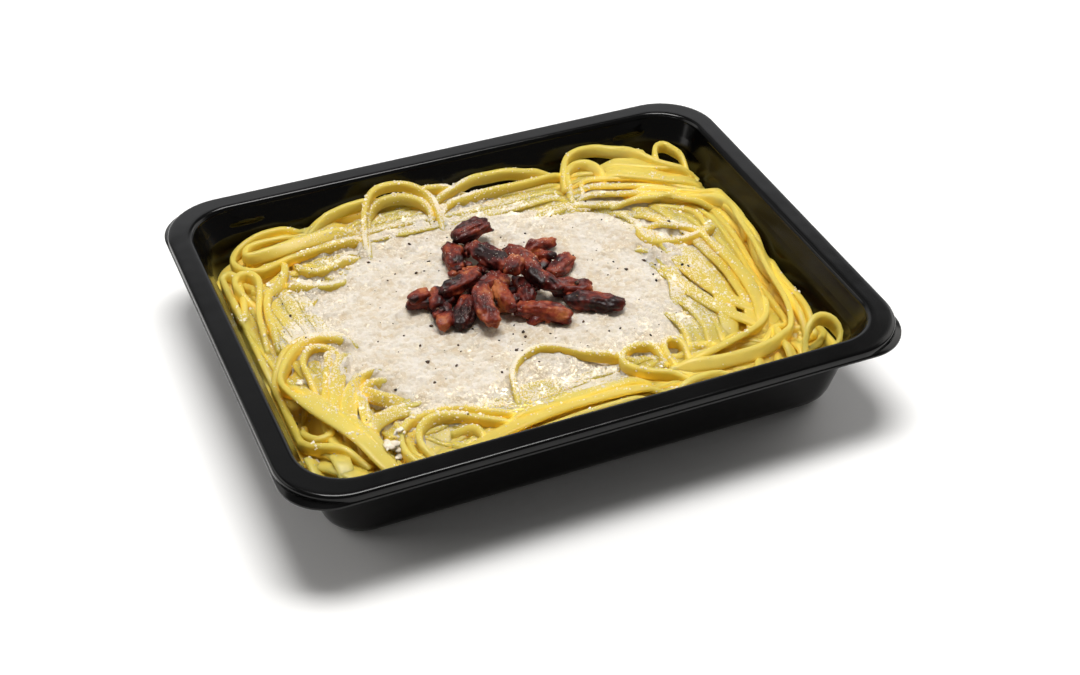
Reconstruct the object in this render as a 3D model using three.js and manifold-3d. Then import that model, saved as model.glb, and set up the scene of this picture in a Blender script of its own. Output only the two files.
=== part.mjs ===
// Pasta carbonara in its ready-meal tray: a thermoformed black tray holding a heap of ribbon pasta,
// a bed of grated cheese over the sauce in the middle of it, and a pile of fried bacon lardons on top.
// Millimetres, +Z up. The origin is the centre of the tray's base, where it stands on the table;
// X runs along the tray's long side.
import * as THREE from "three";
import Module from "manifold-3d";
import { mergeVertices } from "three/addons/utils/BufferGeometryUtils.js";

const wasm = await Module();
wasm.setup();

// ---------------------------------------------------------------- driving dimensions
const TRAY = {
  length: 227, // over the rim
  width: 178, // over the rim
  height: 38, // base to flange top
  cornerRadius: 22.6, // of the rim
  flangeWidth: 5.5, // flat part of the flange
  wall: 0.8, // sheet thickness
  wallTopInset: 8.6, // outside of the wall under the flange, in from the rim
  wallFootInset: 16.4, // outside of the wall where the foot's bend starts
  footRadius: 8, // bend between wall and base
  footCornerRadius: 13, // plan radius of the wall's corners at the foot
  shoulderHeight: 29.5, // small stacking step in the wall
  shoulderStep: 0.7,
};
const LUG = { from: 0.89, to: 0.99, low: 31, high: 35.4, depth: 1.1 }; // keeps nested trays apart; share of the side
const GAP = 0.3; // between pieces that touch
const HEAP = { crest: 27, wellDepth: 7.2, wallDip: 2.6, ripple: 0.5 };
const RIBBON = { width: 5.5, thickness: 2.2 }; // cooked pasta ribbon
const BED = { centreX: -5, centreY: 6, halfX: 60, halfY: 48, edgeHeight: 25.4, hollow: 1.6, floor: 17 };
const CORNER_STEPS = 6;

// Broad rises and hollows of the heap: where, how wide and how high
const SWELLS = [
  { x: -62, y: 64, radius: 26, rise: 1.2 },
  { x: -22, y: 70, radius: 20, rise: 2.4 },
  { x: 62, y: 66, radius: 24, rise: 2.8 },
  { x: 96, y: -24, radius: 26, rise: -5.0 },
  { x: 100, y: 22, radius: 22, rise: -2.4 },
  { x: -84, y: -40, radius: 26, rise: 1.2 },
  { x: 60, y: -60, radius: 30, rise: 1.0 },
  { x: 90, y: -64, radius: 12, rise: 3.0 },
];

// The boldest ribbons on the heap's surface. Each route is a few points [x, y, height above the heap];
// a standing ribbon is on edge, as a flat ribbon is where it curls.
const RIBBONS = [
  { stands: true, route: [[-64, 4, 0.5], [-78, 6, 1], [-92, -2, 1], [-99, -18, 1], [-98, -36, 0.8], [-86, -50, 1], [-79, -64, 0]] },
  { stands: false, route: [[-95, -14, 1], [-88, -28, 1.6], [-80, -46, 1.8], [-72, -62, 1.2], [-68, -69, 0]] },
  { stands: true, route: [[-64, -68, 0], [-67, -57, 1], [-58, -48, 1.4], [-46, -50, 1.2], [-34, -58, 0.8], [-22, -66, 0]] },
  { stands: true, route: [[-56, -69, 0], [-28, -67, 0.6], [0, -64, 1], [26, -63, 0.6], [44, -68, 0]] },
  { stands: true, route: [[34, -58, 0.8], [52, -61, 1.2], [72, -59, 1.2], [86, -48, 1.6], [91, -28, 3], [92, -4, 3], [96, 16, 2]] },
  { stands: true, route: [[34, -50, 0], [30, -44, 0.8], [22, -44, 1], [17, -51, 1], [24, -59, 1], [36, -65, 0]] },
  { stands: true, route: [[-20, -49, -0.5], [-18, -37, 1], [-8, -31, 1.4], [3, -38, 1.2], [14, -45, 1], [24, -45, -0.5]] },
  { stands: true, route: [[98, 30, 1], [86, 34, 1.2], [70, 31, 1], [60, 20, 1], [62, 10, 0.8], [74, 8, 0.6], [90, 17, 0.4]] },
  { stands: true, route: [[-44, 52, 0], [-39, 66, 2], [-30, 73, 5.5], [-19, 73, 5.5], [-12, 66, 2], [-12, 56, 0]] },
  { stands: true, route: [[-40, 56, 0], [-66, 56, 0.6], [-84, 57, 1], [-91, 64, 1.2], [-84, 71, 1.2], [-62, 71, 0.8], [-38, 74, 0]] },
  { stands: true, route: [[-93, 12, 0], [-96, 32, 1], [-94, 45, 1.4], [-88, 46, 1.4], [-87, 36, 1], [-92, 20, 0]] },
  { stands: true, route: [[42, 64, 0], [50, 72, 1.6], [62, 75, 3], [73, 71, 2], [80, 60, 1], [90, 53, 1], [98, 50, 1]] },
  { stands: true, route: [[-10, 60, 0], [4, 66, 0.8], [22, 68, 1], [42, 66, 0.4]] },
];

// Lardons, laid down in this order: where the middle lies, which way it points (degrees), how it leans along
// and about its length, and its own length, width and height. Each comes down until it rests on what is there.
const LARDONS = [
  { x: -29, y: 9, turn: 70, lean: 0, roll: 8, size: [11, 6, 5] },
  { x: -36, y: 10, turn: 15, lean: 0, roll: 0, size: [8, 5, 3] },
  { x: -31, y: -3, turn: 60, lean: 0, roll: 0, size: [8, 5, 4] },
  { x: -14, y: 31, turn: 80, lean: 6, roll: 10, size: [13, 7, 5] },
  { x: -4, y: 39, turn: 10, lean: 3, roll: 0, size: [15, 7, 6] },
  { x: 9, y: 21, turn: -72, lean: 0, roll: 0, size: [17, 7, 5] },
  { x: 19, y: 26, turn: 6, lean: 0, roll: 0, size: [12, 5, 4] },
  { x: 21, y: 12, turn: 35, lean: 0, roll: 0, size: [13, 7, 4] },
  { x: 19, y: -4, turn: -22, lean: 0, roll: 12, size: [14, 7, 5] },
  { x: 23, y: -15, turn: -31, lean: 0, roll: 0, size: [21, 7, 5] },
  { x: 3, y: -14, turn: -36, lean: 0, roll: 0, size: [20, 6.5, 6] },
  { x: 1, y: 1, turn: 82, lean: 0, roll: 0, size: [15, 5.5, 6] },
  { x: -23, y: -2, turn: 60, lean: 4, roll: 0, size: [16, 7, 5] },
  { x: -8, y: 11, turn: 20, lean: 0, roll: 0, size: [14, 7, 4.5] },
  { x: -7, y: -2, turn: 88, lean: 3, roll: 0, size: [16, 5, 5] },
  { x: -15, y: -5, turn: 80, lean: 8, roll: 6, size: [20, 7, 5.5] },
  { x: 9, y: 3, turn: -70, lean: -7, roll: 8, size: [23, 6, 5.5] },
  { x: -20, y: 10, turn: 20, lean: 2, roll: -10, size: [17, 6, 5] },
  { x: -13, y: 18, turn: 32, lean: 0, roll: 0, size: [10, 5.5, 4] },
  { x: -3, y: 23, turn: -66, lean: 0, roll: 10, size: [19, 7.5, 5.5] },
  { x: 0, y: 7, turn: 60, lean: 0, roll: 0, size: [9, 6, 3.8] },
];

// ---------------------------------------------------------------- closed lofts
// Joins rings of equally many points into one closed skin, each end closed by a fan about its centre.
function loft(rings) {
  const count = rings[0].length;
  const middle = (ring) =>
    ring.reduce((sum, p) => sum.add(p), new THREE.Vector3()).divideScalar(count);
  const points = [middle(rings[0]), ...rings.flat(), middle(rings.at(-1))];
  const last = points.length - 1;
  const at = (ring, i) => 1 + ring * count + (i % count);
  const faces = [];
  for (let i = 0; i < count; i++) {
    faces.push(0, at(0, i + 1), at(0, i));
    faces.push(last, at(rings.length - 1, i), at(rings.length - 1, i + 1));
    for (let ring = 0; ring + 1 < rings.length; ring++) {
      faces.push(at(ring, i), at(ring, i + 1), at(ring + 1, i + 1));
      faces.push(at(ring, i), at(ring + 1, i + 1), at(ring + 1, i));
    }
  }
  return new THREE.BufferGeometry().setFromPoints(points).setIndex(faces);
}

function solidOf(geometry) {
  const bare = geometry.clone();
  bare.deleteAttribute("normal");
  bare.deleteAttribute("uv");
  const merged = mergeVertices(bare, 1e-4);
  return new wasm.Manifold(
    new wasm.Mesh({
      numProp: 3,
      vertProperties: merged.getAttribute("position").array,
      triVerts: new Uint32Array(merged.getIndex().array),
    }),
  );
}

function geometryOf(solid) {
  const mesh = solid.getMesh();
  const positions = new THREE.BufferAttribute(new Float32Array(mesh.vertProperties), mesh.numProp);
  return new THREE.BufferGeometry().setAttribute("position", positions).setIndex([...mesh.triVerts]);
}

// The biggest separate piece of a solid
function largest(solid) {
  return solid.decompose().reduce((most, piece) => (piece.volume() > most.volume() ? piece : most));
}

// ---------------------------------------------------------------- the tray
// A rounded rectangle that lies `inset` inside the rim, at one height. Every call gives equally many points,
// so that two of them can be lofted. `push` moves the points of the lugs further in.
function trayRing(inset, z, radius, push = 0) {
  const straightX = TRAY.length / 2 - inset - radius;
  const straightY = TRAY.width / 2 - inset - radius;
  const lug = [[LUG.to, 0], [LUG.to - 0.01, push], [LUG.from + 0.01, push], [LUG.from, 0]];
  const side = [...lug, [0, 0], ...lug.map(([share, pushed]) => [-share, pushed]).reverse()];
  const ring = [];
  for (let corner = 0; corner < 4; corner++) {
    const [signX, signY] = [[1, 1], [-1, 1], [-1, -1], [1, -1]][corner];
    for (let step = 0; step <= CORNER_STEPS; step++) {
      const angle = (corner + step / CORNER_STEPS) * (Math.PI / 2);
      ring.push([signX * straightX + radius * Math.cos(angle), signY * straightY + radius * Math.sin(angle)]);
    }
    if (corner % 2 === 1) ring.push([signX * (straightX + radius), 0]);
    else side.forEach(([share, pushed]) => ring.push([signX * share * straightX, signY * (straightY + radius - pushed)]));
  }
  return ring.map(([x, y]) => new THREE.Vector3(x, y, z));
}

// How far in from the rim the outside of the tray's wall lies at height z
function wallInset(z) {
  const { height, wallTopInset, wallFootInset, footRadius, shoulderHeight, shoulderStep } = TRAY;
  if (z < footRadius) return wallFootInset + footRadius * (1 - Math.sqrt(1 - ((footRadius - z) / footRadius) ** 2));
  const rise = (z - footRadius) / (height - footRadius);
  const step = shoulderStep * (1 - THREE.MathUtils.smoothstep(z, shoulderHeight - 0.6, shoulderHeight + 0.6));
  return THREE.MathUtils.lerp(wallFootInset - shoulderStep, wallTopInset, rise) + step;
}

function wallRadius(z) {
  const atTop = TRAY.cornerRadius - TRAY.wallTopInset * 0.55;
  return THREE.MathUtils.lerp(TRAY.footCornerRadius, atTop, THREE.MathUtils.clamp(z / TRAY.height, 0, 1));
}

// The wall from the base up, as rings that lie `inside` the tray's outer skin, below its flat base first
function wallRings(inside) {
  const { wallFootInset, footRadius, footCornerRadius, shoulderHeight } = TRAY;
  const foot = [0.04, 0.2, 0.5].map((share) => share * footRadius);
  const shoulder = [shoulderHeight - 0.6, shoulderHeight + 0.6];
  const lug = [LUG.low, LUG.low + 0.7, LUG.high - 0.7, LUG.high];
  const rings = [...foot, footRadius, ...shoulder, ...lug].map((z) => {
    const push = z > LUG.low && z < LUG.high ? LUG.depth : 0;
    const lifted = z + inside * Math.max(1 - z / footRadius, 0);
    return trayRing(wallInset(z) + inside, lifted, wallRadius(z), push);
  });
  return [trayRing(wallFootInset + footRadius, inside, footCornerRadius - footRadius / 2), ...rings];
}

function makeTray() {
  const { height, cornerRadius, flangeWidth, wall } = TRAY;
  const rimRing = (inset, z) => trayRing(inset, z, cornerRadius - inset * 0.55);
  const underFlange = [rimRing(8.2, height - 1.4), rimRing(7.4, height - wall), rimRing(1.4, height - wall)];
  const turnedLip = [rimRing(1.15, height - 3.6), rimRing(0, height - 4), rimRing(0, height - 3.2)];
  const overLip = [rimRing(0.35, height - 2.9), rimRing(0.35, height - 0.7), rimRing(0.9, height)];
  const overFlange = [rimRing(0.9 + flangeWidth, height), rimRing(7.8, height - 0.5), rimRing(8.7, height - 1.5)];
  const rim = [...underFlange, ...turnedLip, ...overLip, ...overFlange];
  return loft([...wallRings(0), ...rim, ...wallRings(wall).reverse()]);
}

// ---------------------------------------------------------------- the pasta
const BED_LOBES = [[2, 0.035, 0.6], [3, 0.05, 2.1], [5, 0.03, 0.4], [9, 0.02, 1.7]]; // turns, size, phase

// Share of the way from the bed's middle to its wavy edge: 0 in the middle, 1 at the edge
function bedShare(x, y) {
  const dx = (x - BED.centreX) / BED.halfX;
  const dy = (y - BED.centreY) / BED.halfY;
  const angle = Math.atan2(dy, dx);
  const waves = BED_LOBES.reduce((sum, [turns, size, phase]) => sum + size * Math.sin(turns * angle + phase), 1);
  return (Math.abs(dx) ** 2.4 + Math.abs(dy) ** 2.4) ** (1 / 2.4) / waves;
}

// Height of the heap's surface: a ring of pasta with a well in the middle, dipping towards the wall
function heapHeight(x, y) {
  const { smoothstep } = THREE.MathUtils;
  const well = HEAP.wellDepth * (1 - smoothstep(bedShare(x, y), 0.72, 1.12));
  const toWall = Math.min(TRAY.length / 2 - Math.abs(x), TRAY.width / 2 - Math.abs(y)) - TRAY.wallTopInset;
  const dip = HEAP.wallDip * (1 - smoothstep(toWall, 0, 12));
  const swell = SWELLS.reduce(
    (sum, s) => sum + s.rise * Math.exp(-((x - s.x) ** 2 + (y - s.y) ** 2) / s.radius ** 2),
    0,
  );
  const ripple = HEAP.ripple * (Math.sin(x / 4.1 + y / 9) + Math.sin(y / 5.3 - x / 12));
  return HEAP.crest - well - dip + swell + ripple;
}

// The heap without its ribbons, a little wider than the tray's inside, which trims it
function makeHeapBody(grow) {
  const turns = 44;
  const outline = Array.from({ length: turns }, (_, i) => {
    const angle = (i / turns) * 2 * Math.PI;
    const squarish = (v) => Math.sign(v) * Math.abs(v) ** 0.35;
    const [halfX, halfY] = [TRAY.length / 2 - 8, TRAY.width / 2 - 8];
    return new THREE.Vector3(halfX * squarish(Math.cos(angle)), halfY * squarish(Math.sin(angle)), 0);
  });
  const shares = [1, 0.94, 0.88, 0.82, 0.76, 0.69, 0.61, 0.52, 0.41, 0.27, 0.1];
  const top = shares.map((share) =>
    outline.map(({ x, y }) => new THREE.Vector3(x * share, y * share, heapHeight(x * share, y * share) + grow)),
  );
  return solidOf(loft([outline, ...top]));
}

// One ribbon as a strip with a rectangular section, laid on the heap
function makeRibbon({ stands, route }, grow) {
  const upright = (stands ? RIBBON.width : RIBBON.thickness) / 2 + grow;
  const across = (stands ? RIBBON.thickness : RIBBON.width) / 2 + grow;
  const sunk = stands ? RIBBON.width * 0.15 : 0;
  const path = new THREE.CatmullRomCurve3(
    route.map(([x, y, lift]) => new THREE.Vector3(x, y, heapHeight(x, y) + lift - sunk)),
  );
  const section = new THREE.Shape();
  section.moveTo(-upright, -across).lineTo(upright, -across).lineTo(upright, across).lineTo(-upright, across);
  const steps = Math.ceil(path.getLength() / 9);
  return solidOf(new THREE.ExtrudeGeometry(section, { steps, extrudePath: path, bevelEnabled: false }));
}

// The heap with its ribbons, kept inside the tray. `grow` makes the copy that cuts its neighbours.
function makeHeap(grow = 0) {
  const heap = RIBBONS.reduce((sum, r) => sum.add(makeRibbon(r, grow)), makeHeapBody(grow));
  return largest(heap.intersect(solidOf(loft(wallRings(TRAY.wall + GAP)))));
}

// ---------------------------------------------------------------- the grated cheese
function bedHeight(x, y) {
  const share = Math.min(bedShare(x, y), 1);
  return BED.edgeHeight - BED.hollow * (1 - share ** 2) + 0.35 * Math.sin(x / 6 + 1) * Math.cos(y / 7);
}

function makeBed(heapGrown) {
  const turns = 36;
  const ringAt = (share, heightOf) =>
    Array.from({ length: turns }, (_, i) => {
      const angle = (i / turns) * 2 * Math.PI;
      const [ux, uy] = [Math.cos(angle), Math.sin(angle)];
      const reach = share / bedShare(BED.centreX + ux, BED.centreY + uy);
      const [x, y] = [BED.centreX + ux * reach, BED.centreY + uy * reach];
      return new THREE.Vector3(x, y, heightOf(x, y));
    });
  const top = [1, 0.9, 0.75, 0.55, 0.3].map((share) => ringAt(share, bedHeight));
  const lens = solidOf(loft([ringAt(0.6, () => BED.floor), ringAt(1.02, () => BED.edgeHeight - 1.5), ...top]));
  return largest(lens.subtract(heapGrown));
}

// ---------------------------------------------------------------- the bacon
// Repeatable small unevenness between -1 and 1
const unevenness = (seed) => (((Math.sin(seed * 127.1) * 43758.5453) % 1) + 1) % 1 * 2 - 1;

// A lardon: a bar with squarish section that tapers, bends and is lumpy, lying along X
function makeLardon([length, width, height], seed) {
  const [stations, around] = [5, 8];
  const bend = 0.09 * length * unevenness(seed + 0.5);
  const rings = Array.from({ length: stations }, (_, s) => {
    const along = s / (stations - 1);
    const full = 1 - 0.42 * Math.abs(2 * along - 1) ** 4;
    return Array.from({ length: around }, (_, k) => {
      const angle = ((k + 0.5) / around) * 2 * Math.PI;
      const lump = 1 + 0.12 * unevenness(seed * 31 + s * 7 + k * 3);
      const square = (v) => Math.sign(v) * Math.abs(v) ** 0.7;
      return new THREE.Vector3(
        (along - 0.5) * length,
        (width / 2) * full * lump * square(Math.cos(angle)) + bend * Math.sin(Math.PI * along),
        (height / 2) * full * lump * square(Math.sin(angle)),
      );
    });
  });
  return solidOf(loft(rings));
}

// Lowers a solid from above until it is GAP short of touching any of the solids below it
function rest(solid, below) {
  let [low, high] = [BED.floor, TRAY.height + 25];
  const free = (z) => below.every((other) => solid.translate([0, 0, z]).minGap(other, GAP * 2) >= GAP);
  while (high - low > 0.02) {
    const middle = (low + high) / 2;
    if (free(middle)) high = middle;
    else low = middle;
  }
  return solid.translate([0, 0, high]);
}

function layLardons(bed, heap) {
  const laid = [];
  LARDONS.forEach(({ x, y, turn, lean, roll, size }, i) => {
    const bar = makeLardon(size, i + 1).rotate([roll, -lean, turn]).translate([x, y, 0]);
    laid.push(rest(bar, [bed, heap, ...laid]));
  });
  return laid;
}

// ---------------------------------------------------------------- the whole dish
const FINISH = {
  tray: { color: 0x141416, roughness: 0.35 },
  pasta: { color: 0xe6c450, roughness: 0.45 },
  cheese: { color: 0xf1e2c6, roughness: 0.9 },
  bacon: { color: 0x6a231a, roughness: 0.4 },
};

function pieceOf(name, geometry, finish) {
  const material = new THREE.MeshStandardMaterial({ ...FINISH[finish], metalness: 0 });
  const mesh = new THREE.Mesh(geometry, material);
  mesh.name = name;
  return mesh;
}

const heap = makeHeap();
const bed = makeBed(makeHeap(GAP));
const dish = new THREE.Group();
dish.add(pieceOf("tray", makeTray(), "tray"));
dish.add(pieceOf("pasta_heap", geometryOf(heap), "pasta"));
dish.add(pieceOf("cheese_bed", geometryOf(bed), "cheese"));
layLardons(bed, heap).forEach((lardon, i) => {
  dish.add(pieceOf(`lardon_${String(i + 1).padStart(2, "0")}`, geometryOf(lardon), "bacon"));
});

export default dish;
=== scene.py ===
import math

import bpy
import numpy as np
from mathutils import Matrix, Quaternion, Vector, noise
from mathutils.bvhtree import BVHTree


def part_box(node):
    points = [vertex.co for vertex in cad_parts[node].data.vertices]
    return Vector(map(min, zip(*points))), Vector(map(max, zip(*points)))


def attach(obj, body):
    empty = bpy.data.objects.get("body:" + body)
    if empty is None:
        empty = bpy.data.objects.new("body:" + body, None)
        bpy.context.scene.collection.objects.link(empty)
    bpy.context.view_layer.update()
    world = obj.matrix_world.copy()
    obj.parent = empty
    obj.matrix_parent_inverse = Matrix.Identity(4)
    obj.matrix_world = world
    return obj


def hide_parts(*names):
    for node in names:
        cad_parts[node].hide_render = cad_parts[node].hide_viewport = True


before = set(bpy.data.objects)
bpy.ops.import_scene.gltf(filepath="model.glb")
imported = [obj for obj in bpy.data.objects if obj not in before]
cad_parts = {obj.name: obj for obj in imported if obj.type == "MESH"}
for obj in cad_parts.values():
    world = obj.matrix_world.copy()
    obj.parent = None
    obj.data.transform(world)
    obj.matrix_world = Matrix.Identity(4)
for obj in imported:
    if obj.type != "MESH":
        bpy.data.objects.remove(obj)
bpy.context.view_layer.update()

# %% [markdown]
# # Pasta carbonara in its black tray
# The dish is a moulded plastic tray, a tangle of ribbon pasta round its edge, a bed of grated cheese over the
# sauce in the middle, and fried bacon lardons piled on the cheese. The imported CAD model gives the tray's
# sizes and the lardons' bars, and the rest is built to fit the tray. We work in millimetres in the numpy
# arrays, because food is easy to think about in millimetres, and turn them into Blender's metres at the last
# moment.

MM = 0.001
tray_low, tray_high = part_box("tray")
LENGTH = (tray_high.x - tray_low.x) / MM
WIDTH = (tray_high.y - tray_low.y) / MM
HEIGHT = (tray_high.z - tray_low.z) / MM
print("tray", round(LENGTH, 1), "x", round(WIDTH, 1), "x", round(HEIGHT, 1), "mm")

# %% [markdown]
# ## Camera, floor and light
# The dish stands on a white table in a bright room and is seen from its front left corner, rather far off, so
# a long lens suits it. The light is soft and comes from above and behind, which is what gives food its
# glossy edges and keeps the side of the tray that faces us black. Five area lights make it: a soft box
# overhead for most of the light and the shadow, a pale wall and a panel behind for the sheen, and a reflector
# at each side. A dim world fills what they miss, and the "Standard" view keeps a white table white.

# %% Camera
scene = bpy.context.scene
CAMERA_AT = Vector((-198.9, -475.1, 415.4)) * MM
LOOKS_AT = Vector((-9.0, -38.7, 38.0)) * MM
CAMERA_ROLL = math.radians(0.485)

camera_data = bpy.data.cameras.new("camera")
camera_data.sensor_width = 36
camera_data.lens = 58.65
camera = bpy.data.objects.new("camera", camera_data)
scene.collection.objects.link(camera)
camera.location = CAMERA_AT
facing = (LOOKS_AT - CAMERA_AT).to_track_quat("-Z", "Y")
camera.rotation_euler = (facing @ Quaternion((0, 0, 1), CAMERA_ROLL)).to_euler()
scene.camera = camera
print("camera is", round((CAMERA_AT - LOOKS_AT).length, 3), "m from the dish")

# %% Light
scene.view_settings.view_transform = "Standard"
world = bpy.data.worlds.new("pale room")
world.use_nodes = True
background = world.node_tree.nodes["Background"]
background.inputs["Color"].default_value = (1.0, 0.98, 0.95, 1)
background.inputs["Strength"].default_value = 0.13
scene.world = world


def area_light(name, at, size, watts, tint):
    """A rectangular soft light, in metres, that faces the dish"""
    data = bpy.data.lights.new(name, "AREA")
    data.shape = "RECTANGLE"
    data.size, data.size_y = size
    data.energy = watts
    data.color = tint
    light = bpy.data.objects.new(name, data)
    light.location = at
    light.rotation_euler = (-Vector(at)).to_track_quat("-Z", "Y").to_euler()
    scene.collection.objects.link(light)


area_light("soft box overhead", (0.06, 0.14, 1.3), (0.72, 0.42), 17.0, (1.0, 0.99, 0.97))
area_light("pale wall behind", (0.5, 1.6, 0.52), (3.3, 1.15), 9.5, (0.97, 0.98, 1.0))
area_light("soft panel behind", (-0.1, 1.6, 1.4), (1.0, 0.8), 0.8, (0.97, 0.98, 1.0))
area_light("reflector on the left", (-1.1, 0.6, 0.7), (1.1, 0.8), 4.5, (1.0, 0.98, 0.95))
area_light("reflector on the right", (1.2, 0.3, 0.7), (1.1, 0.8), 5.0, (1.0, 0.98, 0.95))

# %% [markdown]
# ## Small tools for meshes and materials
# Most pieces here are made from numpy arrays: a list of points and a list of faces. `make_piece` turns them
# into an object, smooths it, gives it its finish and, if it's part of the dish, hangs it on the dish's body.
# `loft` joins rings of points into one closed skin, which is how the tray and the pasta's core are made. Where
# many small shapes form one piece, `join_parts` puts them together, each with a tone that its material reads.


# %% Pieces from arrays
def make_piece(name, points, faces, material, slot=None):
    """Object from points in millimetres. With a slot, it's part of the dish and rides on its body."""
    mesh = bpy.data.meshes.new(name)
    mesh.from_pydata((np.asarray(points) * MM).tolist(), [], [list(face) for face in faces])
    mesh.polygons.foreach_set("use_smooth", np.full(len(mesh.polygons), True))
    mesh.materials.append(material)
    piece = bpy.data.objects.new(name, mesh)
    scene.collection.objects.link(piece)
    if slot:
        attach(piece, "root")
    triangles = sum(len(p.vertices) - 2 for p in mesh.polygons)
    print(f"{name}: {len(mesh.vertices)} points, {triangles} triangles")
    return piece


def store(piece, name, values):
    """Stores a number at each point of a piece, for its material to read"""
    attribute = piece.data.attributes.new(name, "FLOAT", "POINT")
    attribute.data.foreach_set("value", np.asarray(values, np.float32))


def join_parts(parts):
    """Points, faces and tones of many (points, faces, tone) parts, as one of each"""
    points, faces, tones, start = [], [], [], 0
    for own_points, own_faces, tone in parts:
        points.append(own_points)
        faces += [[v + start for v in face] for face in own_faces]
        tones.append(np.full(len(own_points), tone))
        start += len(own_points)
    return np.vstack(points), faces, np.concatenate(tones)


def strip_faces(rings, count):
    """Quads between rings of `count` points each, closed all the way round"""
    ring, i = np.meshgrid(np.arange(rings - 1), np.arange(count), indexing="ij")
    here, above, nxt = ring * count, (ring + 1) * count, (i + 1) % count
    return np.stack([here + i, here + nxt, above + nxt, above + i], -1).reshape(-1, 4)


def cap_faces(first, count, centre, flip):
    """Triangles that close a ring of points with one point in its middle"""
    i = np.arange(count)
    nxt = (i + 1) % count
    pair = (first + nxt, first + i) if flip else (first + i, first + nxt)
    return [[centre, a, b] for a, b in zip(*pair)]


def loft(rings):
    """Points and faces of the closed skin through rings of equally many points"""
    rings = [np.asarray(r) for r in rings]
    count = len(rings[0])
    points = np.vstack(rings + [rings[0].mean(0), rings[-1].mean(0)])
    last = (len(rings) - 1) * count
    faces = strip_faces(len(rings), count).tolist()
    faces += cap_faces(0, count, len(points) - 2, True)
    faces += cap_faces(last, count, len(points) - 1, False)
    return points, faces


# %% Nodes of a material
def feed(tree, node, values):
    """Sets a node's sockets; a value that is itself a socket is linked"""
    for key, value in values.items():
        if isinstance(value, bpy.types.NodeSocket):
            tree.links.new(value, node.inputs[key])
        else:
            node.inputs[key].default_value = value


def add_node(tree, kind, values=None, **settings):
    """A shader node with its settings and socket values"""
    made = tree.nodes.new(kind)
    for key, value in settings.items():
        setattr(made, key, value)
    feed(tree, made, values or {})
    return made


def surface(tree):
    """Position and Normal of the point being shaded, among others"""
    return add_node(tree, "ShaderNodeNewGeometry").outputs


def point_value(tree, name):
    """A number that `store` left at the points of a piece"""
    return add_node(tree, "ShaderNodeAttribute", attribute_name=name).outputs["Fac"]


def add_math(tree, operation, a, b):
    """Result of a Math node"""
    return add_node(tree, "ShaderNodeMath", {0: a, 1: b}, operation=operation).outputs[0]


def add_vector_math(tree, operation, a, b=(0, 0, 0)):
    """Result of a Vector Math node: a number for LENGTH, a vector for the others"""
    made = add_node(tree, "ShaderNodeVectorMath", {0: a, 1: b}, operation=operation)
    return made.outputs["Value" if operation == "LENGTH" else "Vector"]


def add_range(tree, value, given, wanted):
    """A value carried from the given range to the wanted one, and kept inside it"""
    ends = {"From Min": given[0], "From Max": given[1], "To Min": wanted[0], "To Max": wanted[1]}
    return add_node(tree, "ShaderNodeMapRange", {"Value": value, **ends}).outputs[0]


def add_noise(tree, place, scale, detail=2.0, roughness=0.5):
    """Noise at a place, about 0.5 on average"""
    values = {"Vector": place, "Scale": scale, "Detail": detail, "Roughness": roughness}
    return add_node(tree, "ShaderNodeTexNoise", values).outputs["Fac"]


def add_ramp(tree, factor, stops):
    """Colour ramp through (position, colour) stops"""
    made = add_node(tree, "ShaderNodeValToRGB", {"Fac": factor})
    elements = made.color_ramp.elements
    while len(elements) < len(stops):
        elements.new(0.5)
    for element, (position, colour) in zip(elements, stops):
        element.position = position
        element.color = (*colour, 1)
    return made.outputs["Color"]


def add_mix(tree, factor, below, colour):
    """The colour of a socket mixed with a plain colour"""
    mix = add_node(tree, "ShaderNodeMix", {"Factor": factor, 6: below, 7: (*colour, 1)}, data_type="RGBA")
    return mix.outputs[2]


def add_bump(tree, height, strength, distance):
    """Normal of a surface with a relief"""
    values = {"Height": height, "Strength": strength, "Distance": distance}
    return add_node(tree, "ShaderNodeBump", values).outputs[0]


def new_material(name):
    """Material with only a Principled shader, and its node tree"""
    material = bpy.data.materials.new(name)
    material.use_nodes = True
    tree = material.node_tree
    return material, tree, tree.nodes["Principled BSDF"]


def new_group(name, inputs, output):
    """Empty shader node group with number sockets, the sockets given to it and the node it ends in"""
    group = bpy.data.node_groups.new(name, "ShaderNodeTree")
    for socket, default in inputs.items():
        made = group.interface.new_socket(socket, in_out="INPUT", socket_type="NodeSocketFloat")
        made.default_value = default
    group.interface.new_socket(output, in_out="OUTPUT", socket_type="NodeSocketFloat")
    return group, group.nodes.new("NodeGroupInput").outputs, group.nodes.new("NodeGroupOutput")


def use_group(tree, group, values):
    """What the group gives when it's placed in a material"""
    return add_node(tree, "ShaderNodeGroup", values, node_tree=group).outputs[0]


# %% [markdown]
# ## The table
# A plain matt white surface, far larger than the dish. It isn't part of the dish, so it gets no slot.

# %% Table
TABLE_HALF = 3000
table_finish, tree, shader = new_material("white table")
feed(tree, shader, {"Base Color": (0.98, 0.98, 0.98, 1), "Roughness": 0.9})
table_corners = [(x * TABLE_HALF, y * TABLE_HALF, 0) for x, y in ((-1, -1), (1, -1), (1, 1), (-1, 1))]
table = make_piece("table", table_corners, [(0, 1, 2, 3)], table_finish)

# %% [markdown]
# ## Effects that several finishes share
# *Fine relief* is small unevenness in two sizes. Pasta, cheese, bacon and plastic all have some, each at its
# own scale, so it's one node group that gives a height for a Bump node. *Cheese dust* says how thickly a
# surface is powdered: most near the cheese bed and on faces that look up, and broken into specks by noise.

# %% Fine relief
relief, given, result = new_group(
    "Fine relief",
    {"Coarse per metre": 200.0, "Fine per metre": 1500.0, "Fine share": 0.4},
    "Height",
)
place = surface(relief)["Position"]
coarse = add_noise(relief, place, given["Coarse per metre"])
fine = add_noise(relief, place, given["Fine per metre"])
fine_part = add_math(relief, "MULTIPLY", fine, given["Fine share"])
feed(relief, result, {"Height": add_math(relief, "ADD", coarse, fine_part)})

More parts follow.
